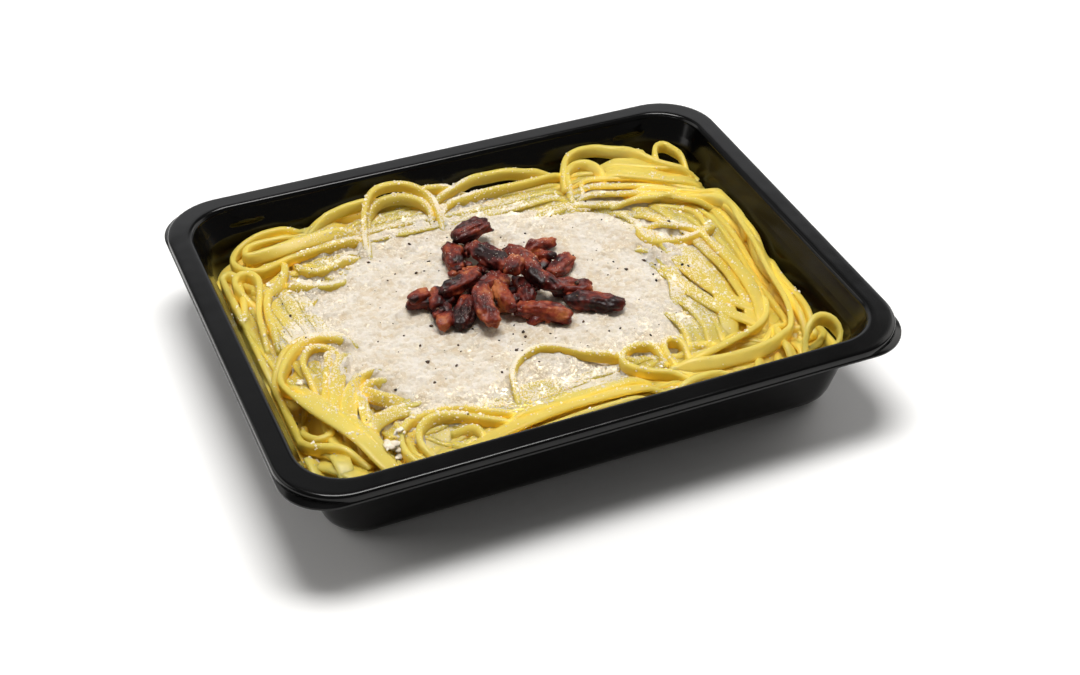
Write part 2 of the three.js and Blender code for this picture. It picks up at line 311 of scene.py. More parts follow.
# %% Where the cheese bed lies
BED_HALF = (62.0, 48.0)
BED_MIDDLE = (-7.0, 6.0)
BED_EDGE_HEIGHT = 25.4
BED_HOLLOW = 1.6
BED_LOBES = [(2, 0.035, 0.6), (3, 0.05, 2.1), (5, 0.03, 0.4), (9, 0.02, 1.7)]  # waves, size, phase
BED_POWER = 2.4  # 2 would make it an ellipse, more makes it squarer


def bed_share(x, y):
    """0 in the middle of the cheese bed, 1 at its wavy edge, more outside"""
    dx = (x - BED_MIDDLE[0]) / BED_HALF[0]
    dy = (y - BED_MIDDLE[1]) / BED_HALF[1]
    angle = np.arctan2(dy, dx)
    waves = 1 + sum(size * np.sin(turns * angle + phase) for turns, size, phase in BED_LOBES)
    return (np.abs(dx) ** BED_POWER + np.abs(dy) ** BED_POWER) ** (1 / BED_POWER) / waves


# %% Cheese dust
SPECK_THRESHOLD = 0.86  # how strong the noise must be for a speck where there's no dust at all
dust, given, result = new_group("Cheese dust", {"Amount": 1.0, "Specks per metre": 1400.0}, "Mask")
geometry = surface(dust)
bed_middle = (BED_MIDDLE[0] * MM, BED_MIDDLE[1] * MM, 0)
bed_sizes = (1 / (BED_HALF[0] * MM), 1 / (BED_HALF[1] * MM), 0)
from_middle = add_vector_math(dust, "SUBTRACT", geometry["Position"], bed_middle)
distance = add_vector_math(dust, "LENGTH", add_vector_math(dust, "MULTIPLY", from_middle, bed_sizes))
nearness = add_range(dust, distance, (0.85, 1.75), (1.0, 0.0))
upward = add_node(dust, "ShaderNodeSeparateXYZ", {"Vector": geometry["Normal"]}).outputs["Z"]
faces_up = add_range(dust, upward, (0.1, 0.85), (0.0, 1.0))
drifts = add_noise(dust, geometry["Position"], 45.0, 3.0)
specks = add_noise(dust, geometry["Position"], given["Specks per metre"])
uneven = add_range(dust, drifts, (0.35, 0.7), (0.25, 1.25))
drifted = add_math(dust, "MULTIPLY", add_math(dust, "MULTIPLY", nearness, faces_up), uneven)
scaled = add_math(dust, "MULTIPLY", drifted, given["Amount"])
threshold = add_math(dust, "SUBTRACT", SPECK_THRESHOLD, scaled)
over = add_math(dust, "SUBTRACT", specks, threshold)
feed(dust, result, {"Mask": add_range(dust, over, (-0.04, 0.08), (0.0, 1.0))})
print("shared effects:", [g.name for g in bpy.data.node_groups])

# %% [markdown]
# ## Finish: moulded black plastic
# Ready-meal trays are thin sheets of black polyester, drawn over a mould. The surface is satin rather than
# shiny, and never quite even, so its reflections waver. A faint coarse relief gives the waver and a fine one
# the satin; grease and handling change the gloss in patches.

# %% Black plastic
plastic_finish, tree, shader = new_material("satin black plastic")
bumps = use_group(tree, relief, {"Coarse per metre": 45.0, "Fine per metre": 1800.0, "Fine share": 0.02})
place = surface(tree)["Position"]
patches = add_noise(tree, place, 25.0, 4.0)
blacks = [(0.3, (0.0009, 0.0009, 0.001)), (0.7, (0.0018, 0.0018, 0.002))]
feed(tree, shader, {
    "Base Color": add_ramp(tree, patches, blacks),
    "Roughness": add_range(tree, patches, (0.3, 0.7), (0.14, 0.21)),
    "Specular IOR Level": 0.27,
    "Normal": add_bump(tree, bumps, 0.3, 0.0008),
})

# %% [markdown]
# ## The tray
# Its shape is one section carried round a rounded rectangle: flat base, bent foot, sloping wall with a small
# stacking step, flange, and a lip that turns down at the rim and flares at its edge. So we list the
# section's points once, as (distance in from the rim, height), round its bends, and loft a ring for each
# point. Four small lugs, which keep nested trays apart, are pushed in from the long walls.

# %% The tray's section
WALL = 0.8
FOOT_RADIUS = 8.0
RIM_CORNER = 22.6
FOOT_CORNER = 13.0
WALL_TOP_INSET = 8.6
WALL_FOOT_INSET = 16.4
STEP_HEIGHT = 29.5
STEP_HALF = 0.6  # half the height of the step's own slope
STEP = 0.7
BEND_STEPS = 5
FINE_RINGS, COARSE_RINGS = 1.2, 4.0  # greatest distance from ring to ring


def wall_inset(z):
    """How far in from the rim the outside of the wall lies at height z, above its foot"""
    rise = (z - FOOT_RADIUS) / (HEIGHT - FOOT_RADIUS)
    step = STEP * (1 - np.clip((z - STEP_HEIGHT + STEP_HALF) / (2 * STEP_HALF), 0, 1))
    return WALL_FOOT_INSET - STEP + rise * (WALL_TOP_INSET - WALL_FOOT_INSET + STEP) + step


def rounded(points):
    """The line through (x, y, radius) points with each corner rounded to its radius"""
    line = [np.array(points[0][:2])]
    for before, here, after in zip(points, points[1:], points[2:]):
        corner, radius = np.array(here[:2]), here[2]
        back = np.array(before[:2]) - corner
        ahead = np.array(after[:2]) - corner
        back_length, ahead_length = np.linalg.norm(back), np.linalg.norm(ahead)
        back, ahead = back / back_length, ahead / ahead_length
        half_turn = math.acos(np.clip(-back @ ahead, -1, 1)) / 2
        reach = min(radius * math.tan(half_turn), back_length * 0.48, ahead_length * 0.48)
        for share in np.linspace(0, 1, BEND_STEPS + 1):
            from_back = corner + back * reach * (1 - share)
            from_ahead = corner + ahead * reach * share
            line.append(from_back * (1 - share) + from_ahead * share)
    line.append(np.array(points[-1][:2]))
    return line


def tray_section():
    """The whole section, from the middle of the underside to the middle of the inside"""
    top = HEIGHT
    foot_inset = wall_inset(0.0)
    steps = [(wall_inset(z), z, 0.4) for z in (STEP_HEIGHT - STEP_HALF, STEP_HEIGHT + STEP_HALF)]
    outside = [(60, 0, 0), (foot_inset, 0, FOOT_RADIUS), *steps, (wall_inset(top - WALL), top - WALL, 0.8)]
    rim = [
        (1.25, top - WALL, 0.4),
        (1.15, top - 3.5, 0.3),
        (0, top - 4.1, 0.15),
        (0, top - 3.3, 0.25),
        (0.3, top - 2.9, 0.3),
        (0.3, top - 0.22, 1.38),
        (wall_inset(top) - 0.3, top, 1.7),
    ]
    inside = [(wall_inset(z) + WALL, z, 3.0) for z in (STEP_HEIGHT + 1.6, STEP_HEIGHT - 1.6)]
    floor = [(foot_inset + WALL, WALL, FOOT_RADIUS - WALL), (60, WALL, 0)]
    return rounded(outside + rim + inside + floor)


def refined(line):
    """The same line with long straight stretches cut up, finely only up where the lugs are"""
    result = [line[0]]
    for a, b in zip(line, line[1:]):
        longest = FINE_RINGS if max(a[1], b[1]) > STEP_HEIGHT else COARSE_RINGS
        pieces = max(1, int(np.ceil(np.linalg.norm(b - a) / longest)))
        result += [a + (b - a) * (i + 1) / pieces for i in range(pieces)]
    return result


# %% One ring of the tray
CORNER_STEPS = 20
CORNER_SHRINK = 0.55  # how much a corner's radius falls for each millimetre in from the rim
LUG_FROM, LUG_TO = 77.0, 86.0
LUG_LOW, LUG_HIGH = 31.0, 35.4
LUG_DEPTH, LUG_FADE = 1.1, 0.9
UPPER_WALL = (8.8, 13.0)  # insets between which a ring belongs to the wall and not to the rim or floor
RING_POINTS = (84, 30)  # points on a long and on a short side


def corner_radius(inset, z):
    """Plan radius of the corners, which tighten from the rim down to the foot"""
    if z > HEIGHT - 3:
        return max(RIM_CORNER - CORNER_SHRINK * inset, 8)
    at_top = RIM_CORNER - CORNER_SHRINK * WALL_TOP_INSET
    return FOOT_CORNER + (at_top - FOOT_CORNER) * z / HEIGHT


def rounded_rectangle(half_x, half_y, radius, side_steps):
    """Points of a rounded rectangle, anticlockwise: corner, long side, corner, short side and so on"""
    outline = []
    for corner, (sign_x, sign_y) in enumerate([(1, 1), (-1, 1), (-1, -1), (1, -1)]):
        angles = (corner + np.linspace(0, 1, CORNER_STEPS + 1)) * math.pi / 2
        centre = np.array([sign_x * (half_x - radius), sign_y * (half_y - radius)])
        arc = centre + radius * np.column_stack([np.cos(angles), np.sin(angles)])
        outline.append(arc)
        along = np.linspace(1, -1, side_steps[corner % 2] + 2)[1:-1]
        if corner % 2 == 0:
            side = [(sign_x * a * (half_x - radius), arc[-1][1]) for a in along]
        else:
            side = [(arc[-1][0], sign_y * a * (half_y - radius)) for a in along]
        outline.append(np.array(side))
    return np.vstack(outline)


def window(value, low, high, soft):
    """1 between low and high, down to 0 over `soft` at both ends by way of a slight bulge"""
    rise = np.clip((value - low) / soft, 0, 1)
    fall = np.clip((high - value) / soft, 0, 1)
    return rise * (3 - 2 * rise) * fall * (3 - 2 * fall)


def tray_ring(inset, z):
    """One ring of the tray's skin"""
    outline = rounded_rectangle(LENGTH / 2 - inset, WIDTH / 2 - inset, corner_radius(inset, z), RING_POINTS)
    ring = np.column_stack([outline, np.full(len(outline), z)])
    if UPPER_WALL[0] < inset < UPPER_WALL[1]:
        pushed = LUG_DEPTH * window(np.abs(ring[:, 0]), LUG_FROM, LUG_TO, LUG_FADE)
        pushed = pushed * window(z, LUG_LOW, LUG_HIGH, LUG_FADE)
        on_long_side = np.abs(ring[:, 1]) > WIDTH / 4
        ring[:, 1] -= np.sign(ring[:, 1]) * pushed * on_long_side
    return ring


tray_rings = [tray_ring(inset, z) for inset, z in refined(tray_section())]
tray = make_piece("moulded_tray", *loft(tray_rings), plastic_finish, slot="tray")
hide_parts("tray")

# %% [markdown]
# ## How high the pasta lies
# The pasta forms a ring with a well in the middle, where the sauce and cheese are. Its surface rises and
# falls in broad swells. One function gives the height aimed at, anywhere in the tray.

# %% Height of the heap
RING_HEIGHT = 27.6
WELL_DEPTH = 6.5
SWELLS = [  # x, y, radius, rise
    (-62, 64, 26, 0.6),
    (-22, 70, 20, 1.8),
    (62, 66, 24, 2.4),
    (96, -24, 26, -5.0),
    (100, 22, 22, -2.0),
    (-84, -40, 26, 0.6),
    (60, -60, 30, 0.6),
    (90, -64, 12, 2.0),
]


def smoothstep(value, low, high):
    """0 below low, 1 above high, and a smooth rise between"""
    t = np.clip((value - low) / (high - low), 0, 1)
    return t * t * (3 - 2 * t)


def mounds(x, y, places):
    """Sum of smooth mounds, each given by x, y, radius and rise"""
    return sum(rise * np.exp(-((x - px) ** 2 + (y - py) ** 2) / radius**2) for px, py, radius, rise in places)


def heap_height(x, y):
    """Height of the pasta's surface aimed at, in millimetres above the table"""
    well = WELL_DEPTH * (1 - smoothstep(bed_share(x, y), 0.7, 1.1))
    return RING_HEIGHT - well + mounds(x, y, SWELLS)


def inner_half(z, clear=0.0):
    """Half length and half width of the tray's inside at height z"""
    inset = wall_inset(z) + WALL + clear
    return LENGTH / 2 - inset, WIDTH / 2 - inset


# %% [markdown]
# ## Finish: cooked egg pasta
# Cooked pasta is a soft, wet yellow: a little light goes into it and comes back warmer, which is subsurface
# scattering, and its wet skin gives small soft highlights. The yellow varies from strand to strand, and near
# the cheese it's powdered. Where a point lies deep among the others, a deeper, warmer yellow is painted on:
# painted shade for the dim light between the strands. The shading normals are turned partly upwards:
# light that crosses a strand brightens its side too, and this is a cheap way to show it.

# %% Pasta
CHEESE_COLOUR = (0.72, 0.64, 0.50)
# painted shade: the deeper, warmer yellow given to the creases between strands, for their dim bounced light
CREASE_SHADE_COLOUR = (0.79, 0.54, 0.07)
pasta_finish, tree, shader = new_material("cooked egg pasta")
place = surface(tree)["Position"]
strand_tone = point_value(tree, "tone")
sunk = point_value(tree, "sunk")
yellows = [(0.25, (0.575, 0.435, 0.06)), (0.55, (0.605, 0.48, 0.082)), (0.85, (0.63, 0.515, 0.11))]
yellow = add_ramp(tree, add_math(tree, "ADD", add_noise(tree, place, 55.0, 3.0), strand_tone), yellows)
powder = use_group(tree, dust, {"Amount": 0.85, "Specks per metre": 1500.0})
bumps = use_group(tree, relief, {"Coarse per metre": 300.0, "Fine per metre": 1500.0, "Fine share": 0.12})
bumpy = add_bump(tree, add_math(tree, "ADD", bumps, powder), 0.4, 0.00025)
raised = add_vector_math(tree, "ADD", bumpy, (0, 0, 0.45))
shader.subsurface_method = "BURLEY"
feed(tree, shader, {
    "Base Color": add_mix(tree, powder, add_mix(tree, sunk, yellow, CREASE_SHADE_COLOUR), CHEESE_COLOUR),
    "Roughness": add_range(tree, powder, (0, 1), (0.36, 0.85)),
    "Specular IOR Level": 0.38,
    "Normal": add_vector_math(tree, "NORMALIZE", raised),
    "Subsurface Weight": 0.9,
    "Subsurface Radius": (1.0, 0.75, 0.35),
    "Subsurface Scale": 0.005,
})

# %% [markdown]
# ## Laying pasta
# Each strand is a ribbon about 5 mm wide and 2 mm thick. Ribbons lie flat where they run straight and stand
# on edge where they curl, because a ribbon bends only across its thin side. A physics simulation of over two
# hundred ribbons would be slow, so we lay them one by one on a height map: a grid that holds how high the
# food reaches at each spot. A strand looks up the heights under its route, smooths them, because pasta is a
# little stiff, and lies there. Then it raises the map for the strands that come after it.

# %% The height map
CELL = 0.5
MAP_HALF = (108.0, 84.0)
map_x = np.arange(-MAP_HALF[0], MAP_HALF[0] + CELL, CELL)
map_y = np.arange(-MAP_HALF[1], MAP_HALF[1] + CELL, CELL)
grid_x, grid_y = np.meshgrid(map_x, map_y, indexing="ij")
CORE_DEPTH = 9.0
heights = heap_height(grid_x, grid_y) - CORE_DEPTH
rng = np.random.default_rng(7)


def cell_of(x, y):
    """Row and column of the map's cell nearest to a place"""
    i = np.clip(np.rint((x + MAP_HALF[0]) / CELL).astype(int), 0, len(map_x) - 1)
    j = np.clip(np.rint((y + MAP_HALF[1]) / CELL).astype(int), 0, len(map_y) - 1)
    return i, j


# %% Smooth lines
LAY_STEP = 0.5  # mm between stations while laying
RIBBON_WIDTH = 5.3
RIBBON_THICKNESS = 2.3


def smooth_route(points):
    """Evenly spaced points on the smooth curve (Catmull-Rom) through a few points"""
    points = np.asarray(points, float)
    ends = [2 * points[0] - points[1], *points, 2 * points[-1] - points[-2]]
    t = np.linspace(0, 1, 40, endpoint=False)[:, None]
    pieces = []
    for a, b, c, d in zip(ends, ends[1:], ends[2:], ends[3:]):
        pieces.append(
            0.5 * (2 * b + (c - a) * t + (2 * a - 5 * b + 4 * c - d) * t**2 + (3 * b - a - 3 * c + d) * t**3)
        )
    dense = np.vstack(pieces + [points[-1:]])
    run = np.concatenate([[0], np.cumsum(np.linalg.norm(np.diff(dense[:, :2], axis=0), axis=1))])
    wanted = np.linspace(0, run[-1], max(int(run[-1] / LAY_STEP), 4))
    return np.column_stack([np.interp(wanted, run, dense[:, k]) for k in range(dense.shape[1])])


def blurred(values, sigma):
    """Gaussian blur along a line, with its ends held"""
    reach = int(3 * sigma) + 1
    kernel = np.exp(-0.5 * (np.arange(-reach, reach + 1) / sigma) ** 2)
    padded = np.pad(values, reach, mode="edge")
    return np.convolve(padded, kernel / kernel.sum(), mode="valid")


def wander(count, wavelength, amount):
    """Slow random wander along a line, `wavelength` in stations"""
    s = np.arange(count)
    waves = sum(
        np.sin(2 * math.pi * s / (wavelength * k) + rng.uniform(0, 2 * math.pi)) * w
        for k, w in ((1.0, 0.5), (0.53, 0.3), (1.9, 0.6))
    )
    return waves * amount


# %% Laying one strand
SQUEEZE = 0.28  # how much of its excess height a strand keeps where it's over the ceiling
PRESSED_IN = 0.3  # how far a strand sinks into what it lies on
STIFFNESS = 5.0  # stations over which its height is smoothed
DIVE = 10  # mm at each end over which it bends down
FLAT_BEND, EDGE_BEND = 1 / 60, 1 / 22  # curvatures up to which it lies flat and from which it stands
WALL_CLEAR = 0.5
HEAP_CORNER = 14.0  # plan radius of the pasta's corners
CLEAR_OF_CHEESE = 0.8
HOLLOWS = [  # x, y, radius, depth
    (-68, -36, 7, 8),
    (-53, -61, 8, 5),
    (-92, -34, 7, 4),
    (-77, -9, 5, 4),
    (50, -68, 12, 3),
    (72, -68, 12, 3),
    (-96, 22, 5, 3),
    (62, 20, 9, 2),
]
strands = []  # every strand laid: its points, its roll and its size


def keep_inside(x, y, z, reach):
    """Moves points that would cut into the tray's wall back inside"""
    half_x, half_y = inner_half(np.clip(z, 9, 33), WALL_CLEAR)
    half_x, half_y = half_x - reach, half_y - reach
    x, y = np.clip(x, -half_x, half_x), np.clip(y, -half_y, half_y)
    dx, dy = np.abs(x) - (half_x - HEAP_CORNER), np.abs(y) - (half_y - HEAP_CORNER)
    far = np.hypot(dx, dy)
    out = (dx > 0) & (dy > 0) & (far > HEAP_CORNER)
    pull = np.where(out, HEAP_CORNER / np.maximum(far, 1e-6), 1)
    x = np.where(out, np.sign(x) * (half_x - HEAP_CORNER + dx * pull), x)
    y = np.where(out, np.sign(y) * (half_y - HEAP_CORNER + dy * pull), y)
    return x, y


def limit_height(x, y, layer):
    """Height the ceilings are measured from: upper strands clear the cheese, lower ones leave hollows"""
    if layer == "upper":
        return np.maximum(heap_height(x, y), BED_EDGE_HEIGHT + CLEAR_OF_CHEESE)
    return heap_height(x, y) - mounds(x, y, HOLLOWS)


def lay(route, stance=0.0, ceiling=1.0, width=RIBBON_WIDTH, layer="upper", twist=0.2, dive=(4, 4)):
    """Lays a ribbon along a route of (x, y) or (x, y, lift) points.
    stance is 0 for flat and 1 for on edge; ceiling is how far above the heap its top may rise without
    being squeezed; dive is how deep its ends bend down into the heap."""
    line = smooth_route([tuple(p) + (0,) * (3 - len(p)) for p in route])
    count = len(line)
    thick = RIBBON_THICKNESS * rng.uniform(0.9, 1.1)
    wide = width * rng.uniform(0.92, 1.06)
    x, y, lift = line.T
    dx, dy = blurred(np.gradient(x), 3), blurred(np.gradient(y), 3)
    speed = np.maximum(np.hypot(dx, dy), 1e-6)
    dx, dy = dx / speed, dy / speed
    turning = np.abs(np.gradient(np.unwrap(np.arctan2(dy, dx)))) / LAY_STEP
    curled = smoothstep(blurred(turning, 8), FLAT_BEND, EDGE_BEND)
    roll = (stance + (1 - stance) * curled) * math.pi / 2
    roll = np.clip(roll + wander(count, 90, twist), -0.5, math.pi / 2 + 0.35)
    roll = blurred(roll, 8)
    across = np.hypot(np.cos(roll) * wide / 2, np.sin(roll) * thick / 2)
    upright = np.hypot(np.sin(roll) * wide / 2, np.cos(roll) * thick / 2)
    x, y = keep_inside(x, y, heap_height(x, y), across)
    support = np.full(count, -1e9)
    for share in (-0.9, -0.45, 0, 0.45, 0.9):
        support = np.maximum(support, heights[cell_of(x - dy * across * share, y + dx * across * share)])
    z = support + upright - PRESSED_IN
    z = np.maximum(blurred(z, 2 * STIFFNESS), blurred(z, STIFFNESS) - 0.3)
    limit = limit_height(x, y, layer) + ceiling - upright
    z = np.where(z > limit, limit + SQUEEZE * (z - limit), z)
    from_start = np.arange(count) * LAY_STEP
    from_end = from_start[::-1]
    sunk = dive[0] * (1 - smoothstep(from_start, 0, DIVE)) + dive[1] * (1 - smoothstep(from_end, 0, DIVE))
    z = blurred(z, STIFFNESS) + lift - sunk
    x, y = keep_inside(x, y, z - upright, across)
    for share in np.linspace(-1, 1, 13):
        i, j = cell_of(x - dy * across * share, y + dx * across * share)
        top = z + upright * math.sqrt(max(1 - abs(share) ** 3, 0))
        resting = lift < 2.5
        np.maximum.at(heights, (i[resting], j[resting]), top[resting])
    line = np.column_stack([x, y, z])
    strands.append({"line": line, "roll": roll, "wide": wide, "thick": thick, "layer": layer})


# %% [markdown]
# ### The hidden and half-hidden strands
# The lower strands only have to look like a tangle that runs round the tray, as it does when pasta is
# twirled in. So these routes are random: pieces of ring round the tray, wandering in and out, some with a
# curl in them.

# %% Random strands round the tray
FILL_STRANDS = 110
RING_HALF, RING_POWER = (96, 71), 0.42
ROUTE_POINTS = 12
LOWEST_FILL, FILL_RISE = -6.5, 3.0  # ceiling of the first strand, and how far it rises by the last


def squared(value, power):
    """A cosine or sine bent by a power under 1, so that a circle becomes a rounded square"""
    return np.sign(value) * np.abs(value) ** power


def ring_point(turn, out):
    """Point on a rounded ring round the tray: `out` is 1 at the wall and 0.5 half-way in"""
    half_x, half_y = RING_HALF
    return half_x * out * squared(np.cos(turn), RING_POWER), half_y * out * squared(np.sin(turn), RING_POWER)


def random_route():
    """Part of a ring with a wandering distance from the wall"""
    start = rng.uniform(0, 2 * math.pi)
    span = rng.uniform(0.5, 1.5) * rng.choice([-1, 1])
    turn = start + span * np.linspace(0, 1, ROUTE_POINTS)
    out = rng.uniform(0.62, 1.0)
    out = out + 0.09 * np.sin(np.linspace(0, rng.uniform(2, 7), ROUTE_POINTS) + rng.uniform(0, 6))
    x, y = ring_point(turn, out)
    return list(zip(x + rng.normal(0, 1.2, ROUTE_POINTS), y + rng.normal(0, 1.2, ROUTE_POINTS)))


for number in range(FILL_STRANDS):
    depth = LOWEST_FILL + FILL_RISE * number / FILL_STRANDS
    lay(random_route(), stance=rng.choice([0.0, 0.5, 1.0]), ceiling=depth, layer="lower", twist=0.35)
over_heap = heights - heap_height(grid_x, grid_y)
in_ring = (bed_share(grid_x, grid_y) > 1.1) & (np.abs(grid_x) < 95) & (np.abs(grid_y) < 70)
print(len(strands), "lower strands,", round(over_heap[in_ring].mean(), 2), "mm over the heap on average")

# %% [markdown]
# ### The strands that show
# These are laid one by one, as a cook's tongs left them. Each bundle is a route of a few points, the number of
# strands side by side, how far apart they are, and whether they lie flat or stand on edge. First come those
# that only show between the others.

# %% Bundles
FLAT, TILTED, EDGE = 0.05, 0.5, 1.0


def bundle(route, count=1, pitch=3.4, stance=EDGE, **laying):
    """Strands side by side along one route, `pitch` apart, each wandering a little on its own"""
    route = np.array([tuple(p) + (0,) * (3 - len(p)) for p in route], float)
    step = np.gradient(route[:, :2], axis=0)
    side = np.column_stack([-step[:, 1], step[:, 0]]) / np.linalg.norm(step, axis=1)[:, None]
    order = rng.permutation(count)
    for k in order:
        own = route.copy()
        own[:, :2] += side * ((k - (count - 1) / 2) * pitch)
        if count > 1:
            own[:, :2] += rng.normal(0, 0.5, own[:, :2].shape)
        lay(own, stance=stance, **laying)


under = dict(ceiling=-2.6, layer="lower")
deeper = dict(ceiling=-4.5, layer="lower")
bundle([(-99, 46), (-99, 28), (-98.5, 8), (-98, -8)], ceiling=-1.2, layer="lower")
bundle([(-92, 44), (-90.5, 26), (-89, 8), (-86, -10), (-83, -26)], 3, 4.6, stance=0.3, **under)
bundle([(-80, 50), (-79, 30), (-78, 14), (-76, 2)], 3, 4.8, stance=FLAT, **under)
bundle([(-40, 64), (-58, 63), (-76, 63), (-89, 64)], 4, 4.6, stance=0.4, **under)
bundle([(-48, 63), (-30, 63), (-10, 63), (12, 63), (34, 63), (48, 61)], 4, 4.6, stance=0.4, **under)
bundle([(-76, 52), (-66, 44), (-56, 36), (-50, 28)], 3, 5.0, stance=0.3, **under)
bundle([(40, 60), (56, 55), (72, 48), (86, 39), (95, 27), (97, 6)], 5, 4.8, stance=0.3, **under)
bundle([(56, 44), (64, 24), (69, 2), (70, -22), (68, -48)], 5, 6.0, stance=0.15, width=6.4, **under)
bundle([(93, 32), (94, 10), (92, -12), (90, -34), (88, -54)], 3, 3.4, **under)
bundle([(86, -60), (66, -64), (46, -64), (26, -62), (8, -59)], 3, 4.6, stance=0.4, **deeper)
bundle([(40, -67), (15, -66.5), (-10, -66.5), (-35, -67.5), (-55, -70)], 2, 3.6, **under)
bundle([(-20, -56), (-36, -58), (-52, -60), (-66, -62)], 3, 4.8, stance=0.3, **deeper)
bundle([(-98, -46), (-94, -57), (-87, -66), (-79, -73)], 3, 4.6, stance=FLAT, **under)
bundle([(-68, -10), (-78, -26), (-83, -42), (-83, -60)], 3, 4.6, stance=0.3, **under)
bundle([(52, -18), (54, -36), (52, -52)], 4, 4.6, stance=0.3, **under)
print("strands so far:", len(strands))

# %% [markdown]
# ## The sauce-soaked core
# What lies deep in the heap can't be seen, so one closed lump stands in for it. Its top follows the height
# map, blurred and a little lower, like the sauce that has run in between the strands: narrow gaps are half
# full, wide ones show as hollows.


# %% Blur and look-up on the height map
def blurred_map(values, sigma):
    """The map blurred along both of its axes, `sigma` in cells"""
    for axis in (0, 1):
        values = np.apply_along_axis(blurred, axis, values, sigma)
    return values


def look_up(values, x, y):
    """Values of a map between its cells"""
    u = np.clip((x + MAP_HALF[0]) / CELL, 0, len(map_x) - 1.001)
    v = np.clip((y + MAP_HALF[1]) / CELL, 0, len(map_y) - 1.001)
    i, j = np.floor(u).astype(int), np.floor(v).astype(int)
    fu, fv = u - i, v - j
    low = values[i, j] * (1 - fu) + values[i + 1, j] * fu
    high = values[i, j + 1] * (1 - fu) + values[i + 1, j + 1] * fu
    return low * (1 - fv) + high * fv


# %% Core
SAUCE_BLUR = 1.1
SAUCE_BELOW = 1.0
CORE_WALL = ((1.3, 8.0), (4.0, 3.0), (9.0, 0.6), (16.0, 0.3), (19.0, 0.2))  # height, distance from the wall
CORE_SIDES = (110, 80)  # points on a long and on a short side
CORE_RINGS = 90
near_bed = 1 - smoothstep(bed_share(grid_x, grid_y), 1.2, 1.75)
sauce_height = blurred_map(heights, SAUCE_BLUR / CELL) - SAUCE_BELOW + 0.9 * near_bed
core_below = []
for z, extra in CORE_WALL:
    outline = rounded_rectangle(*inner_half(z, extra), HEAP_CORNER, CORE_SIDES)
    core_below.append(np.column_stack([outline, np.full(len(outline), z)]))
core_top = []
for share in np.linspace(0.995, 0.03, CORE_RINGS):
    x, y = (core_below[-1][:, :2] * share).T
    core_top.append(np.column_stack([x, y, look_up(sauce_height, x, y)]))
core = make_piece("pasta_core", *loft(core_below + core_top), pasta_finish, slot="pasta")
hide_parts("pasta_heap")

# %% [markdown]
# ### The strands on top
# Now the strands that lie over the rest. Where a strand stands clear of the others in an arch, its points
# carry a third number, the height it's lifted by.

# %% Left side
bundle([(-98, 26), (-101, 40), (-100, 51), (-96, 56), (-93, 52), (-94, 40), (-96, 28)])
bundle([(-91, 33), (-95, 41), (-94, 48.5), (-89, 50), (-86.5, 45), (-88.5, 36), (-92, 24), (-94, 8)])
bundle([(-74, 57), (-75, 48), (-80, 39), (-86, 33), (-89, 22), (-90, 6)])
bundle([(-70, 53), (-69.5, 45), (-65, 41), (-58, 42), (-52, 46), (-46, 48)])
bundle([(-79, 42), (-73, 35), (-65, 32), (-58, 33.5), (-55, 39)])
bundle([(-85, -24), (-86, -11), (-83, -3.5), (-78, -1.5), (-73.5, -5), (-73.5, -12), (-78, -21)],
       ceiling=1.8)
bundle([(-96, -44), (-97, -50), (-96.5, -58), (-95, -63)], stance=FLAT, ceiling=-1)
bundle([(-88, -50), (-88.4, -56.5), (-88.4, -63), (-88, -70)], stance=FLAT, width=6.6, ceiling=-0.2)
bundle([(-56, -37), (-62, -34.5), (-66.2, -32), (-69.4, -28), (-73, -23)], stance=0.1, ceiling=-1.6)
bundle([(-53, -24), (-59.8, -24.3), (-65.2, -24.5), (-69.2, -26.5), (-74, -33)], stance=0.1, ceiling=-0.8)
bundle([(-70, -25), (-72, -31.5), (-73.5, -40), (-74.3, -49), (-74.5, -60)], stance=0.5, ceiling=0)
bundle([(-55, -39), (-61.2, -41.2), (-68.2, -44.1), (-73, -47.4), (-79, -52)], stance=0.3, ceiling=0.2)
bundle([(-71, -2), (-74.5, -7), (-78.7, -16.4), (-82.1, -26), (-84, -40)], stance=0.4)
bundle([(-64, -5), (-70.2, -10.1), (-75, -16.7), (-80.5, -31.3), (-83, -46)], stance=0.35)
bundle([(-54, -18), (-61.1, -19.5), (-67.8, -21.5), (-74.3, -29.2), (-79.3, -40), (-82, -54)], stance=0.2,
       width=6.2)
bundle([(-92, -12), (-88.7, -23), (-83.2, -36), (-78.8, -45), (-74.2, -57), (-70, -67)], stance=0.3,
       ceiling=0.8)
bundle([(-62, -5), (-70, 2.5), (-79, 5), (-88, 2), (-95, -6), (-99.5, -18), (-100, -30), (-98.5, -39),
        (-93.5, -50), (-86, -56.5), (-80, -63)])
bundle([(-63, -8), (-70.5, -0.5), (-79, 2), (-87, -2), (-93, -9), (-95.5, -17), (-91.3, -27),
        (-86.4, -39.3), (-81.4, -50.5), (-76.2, -62.7), (-70, -73)], stance=0.12, width=6.8, ceiling=1.8)
bundle([(-93, -33), (-95, -40), (-92, -46), (-87, -45), (-87, -38)], ceiling=-1.5, layer="lower")

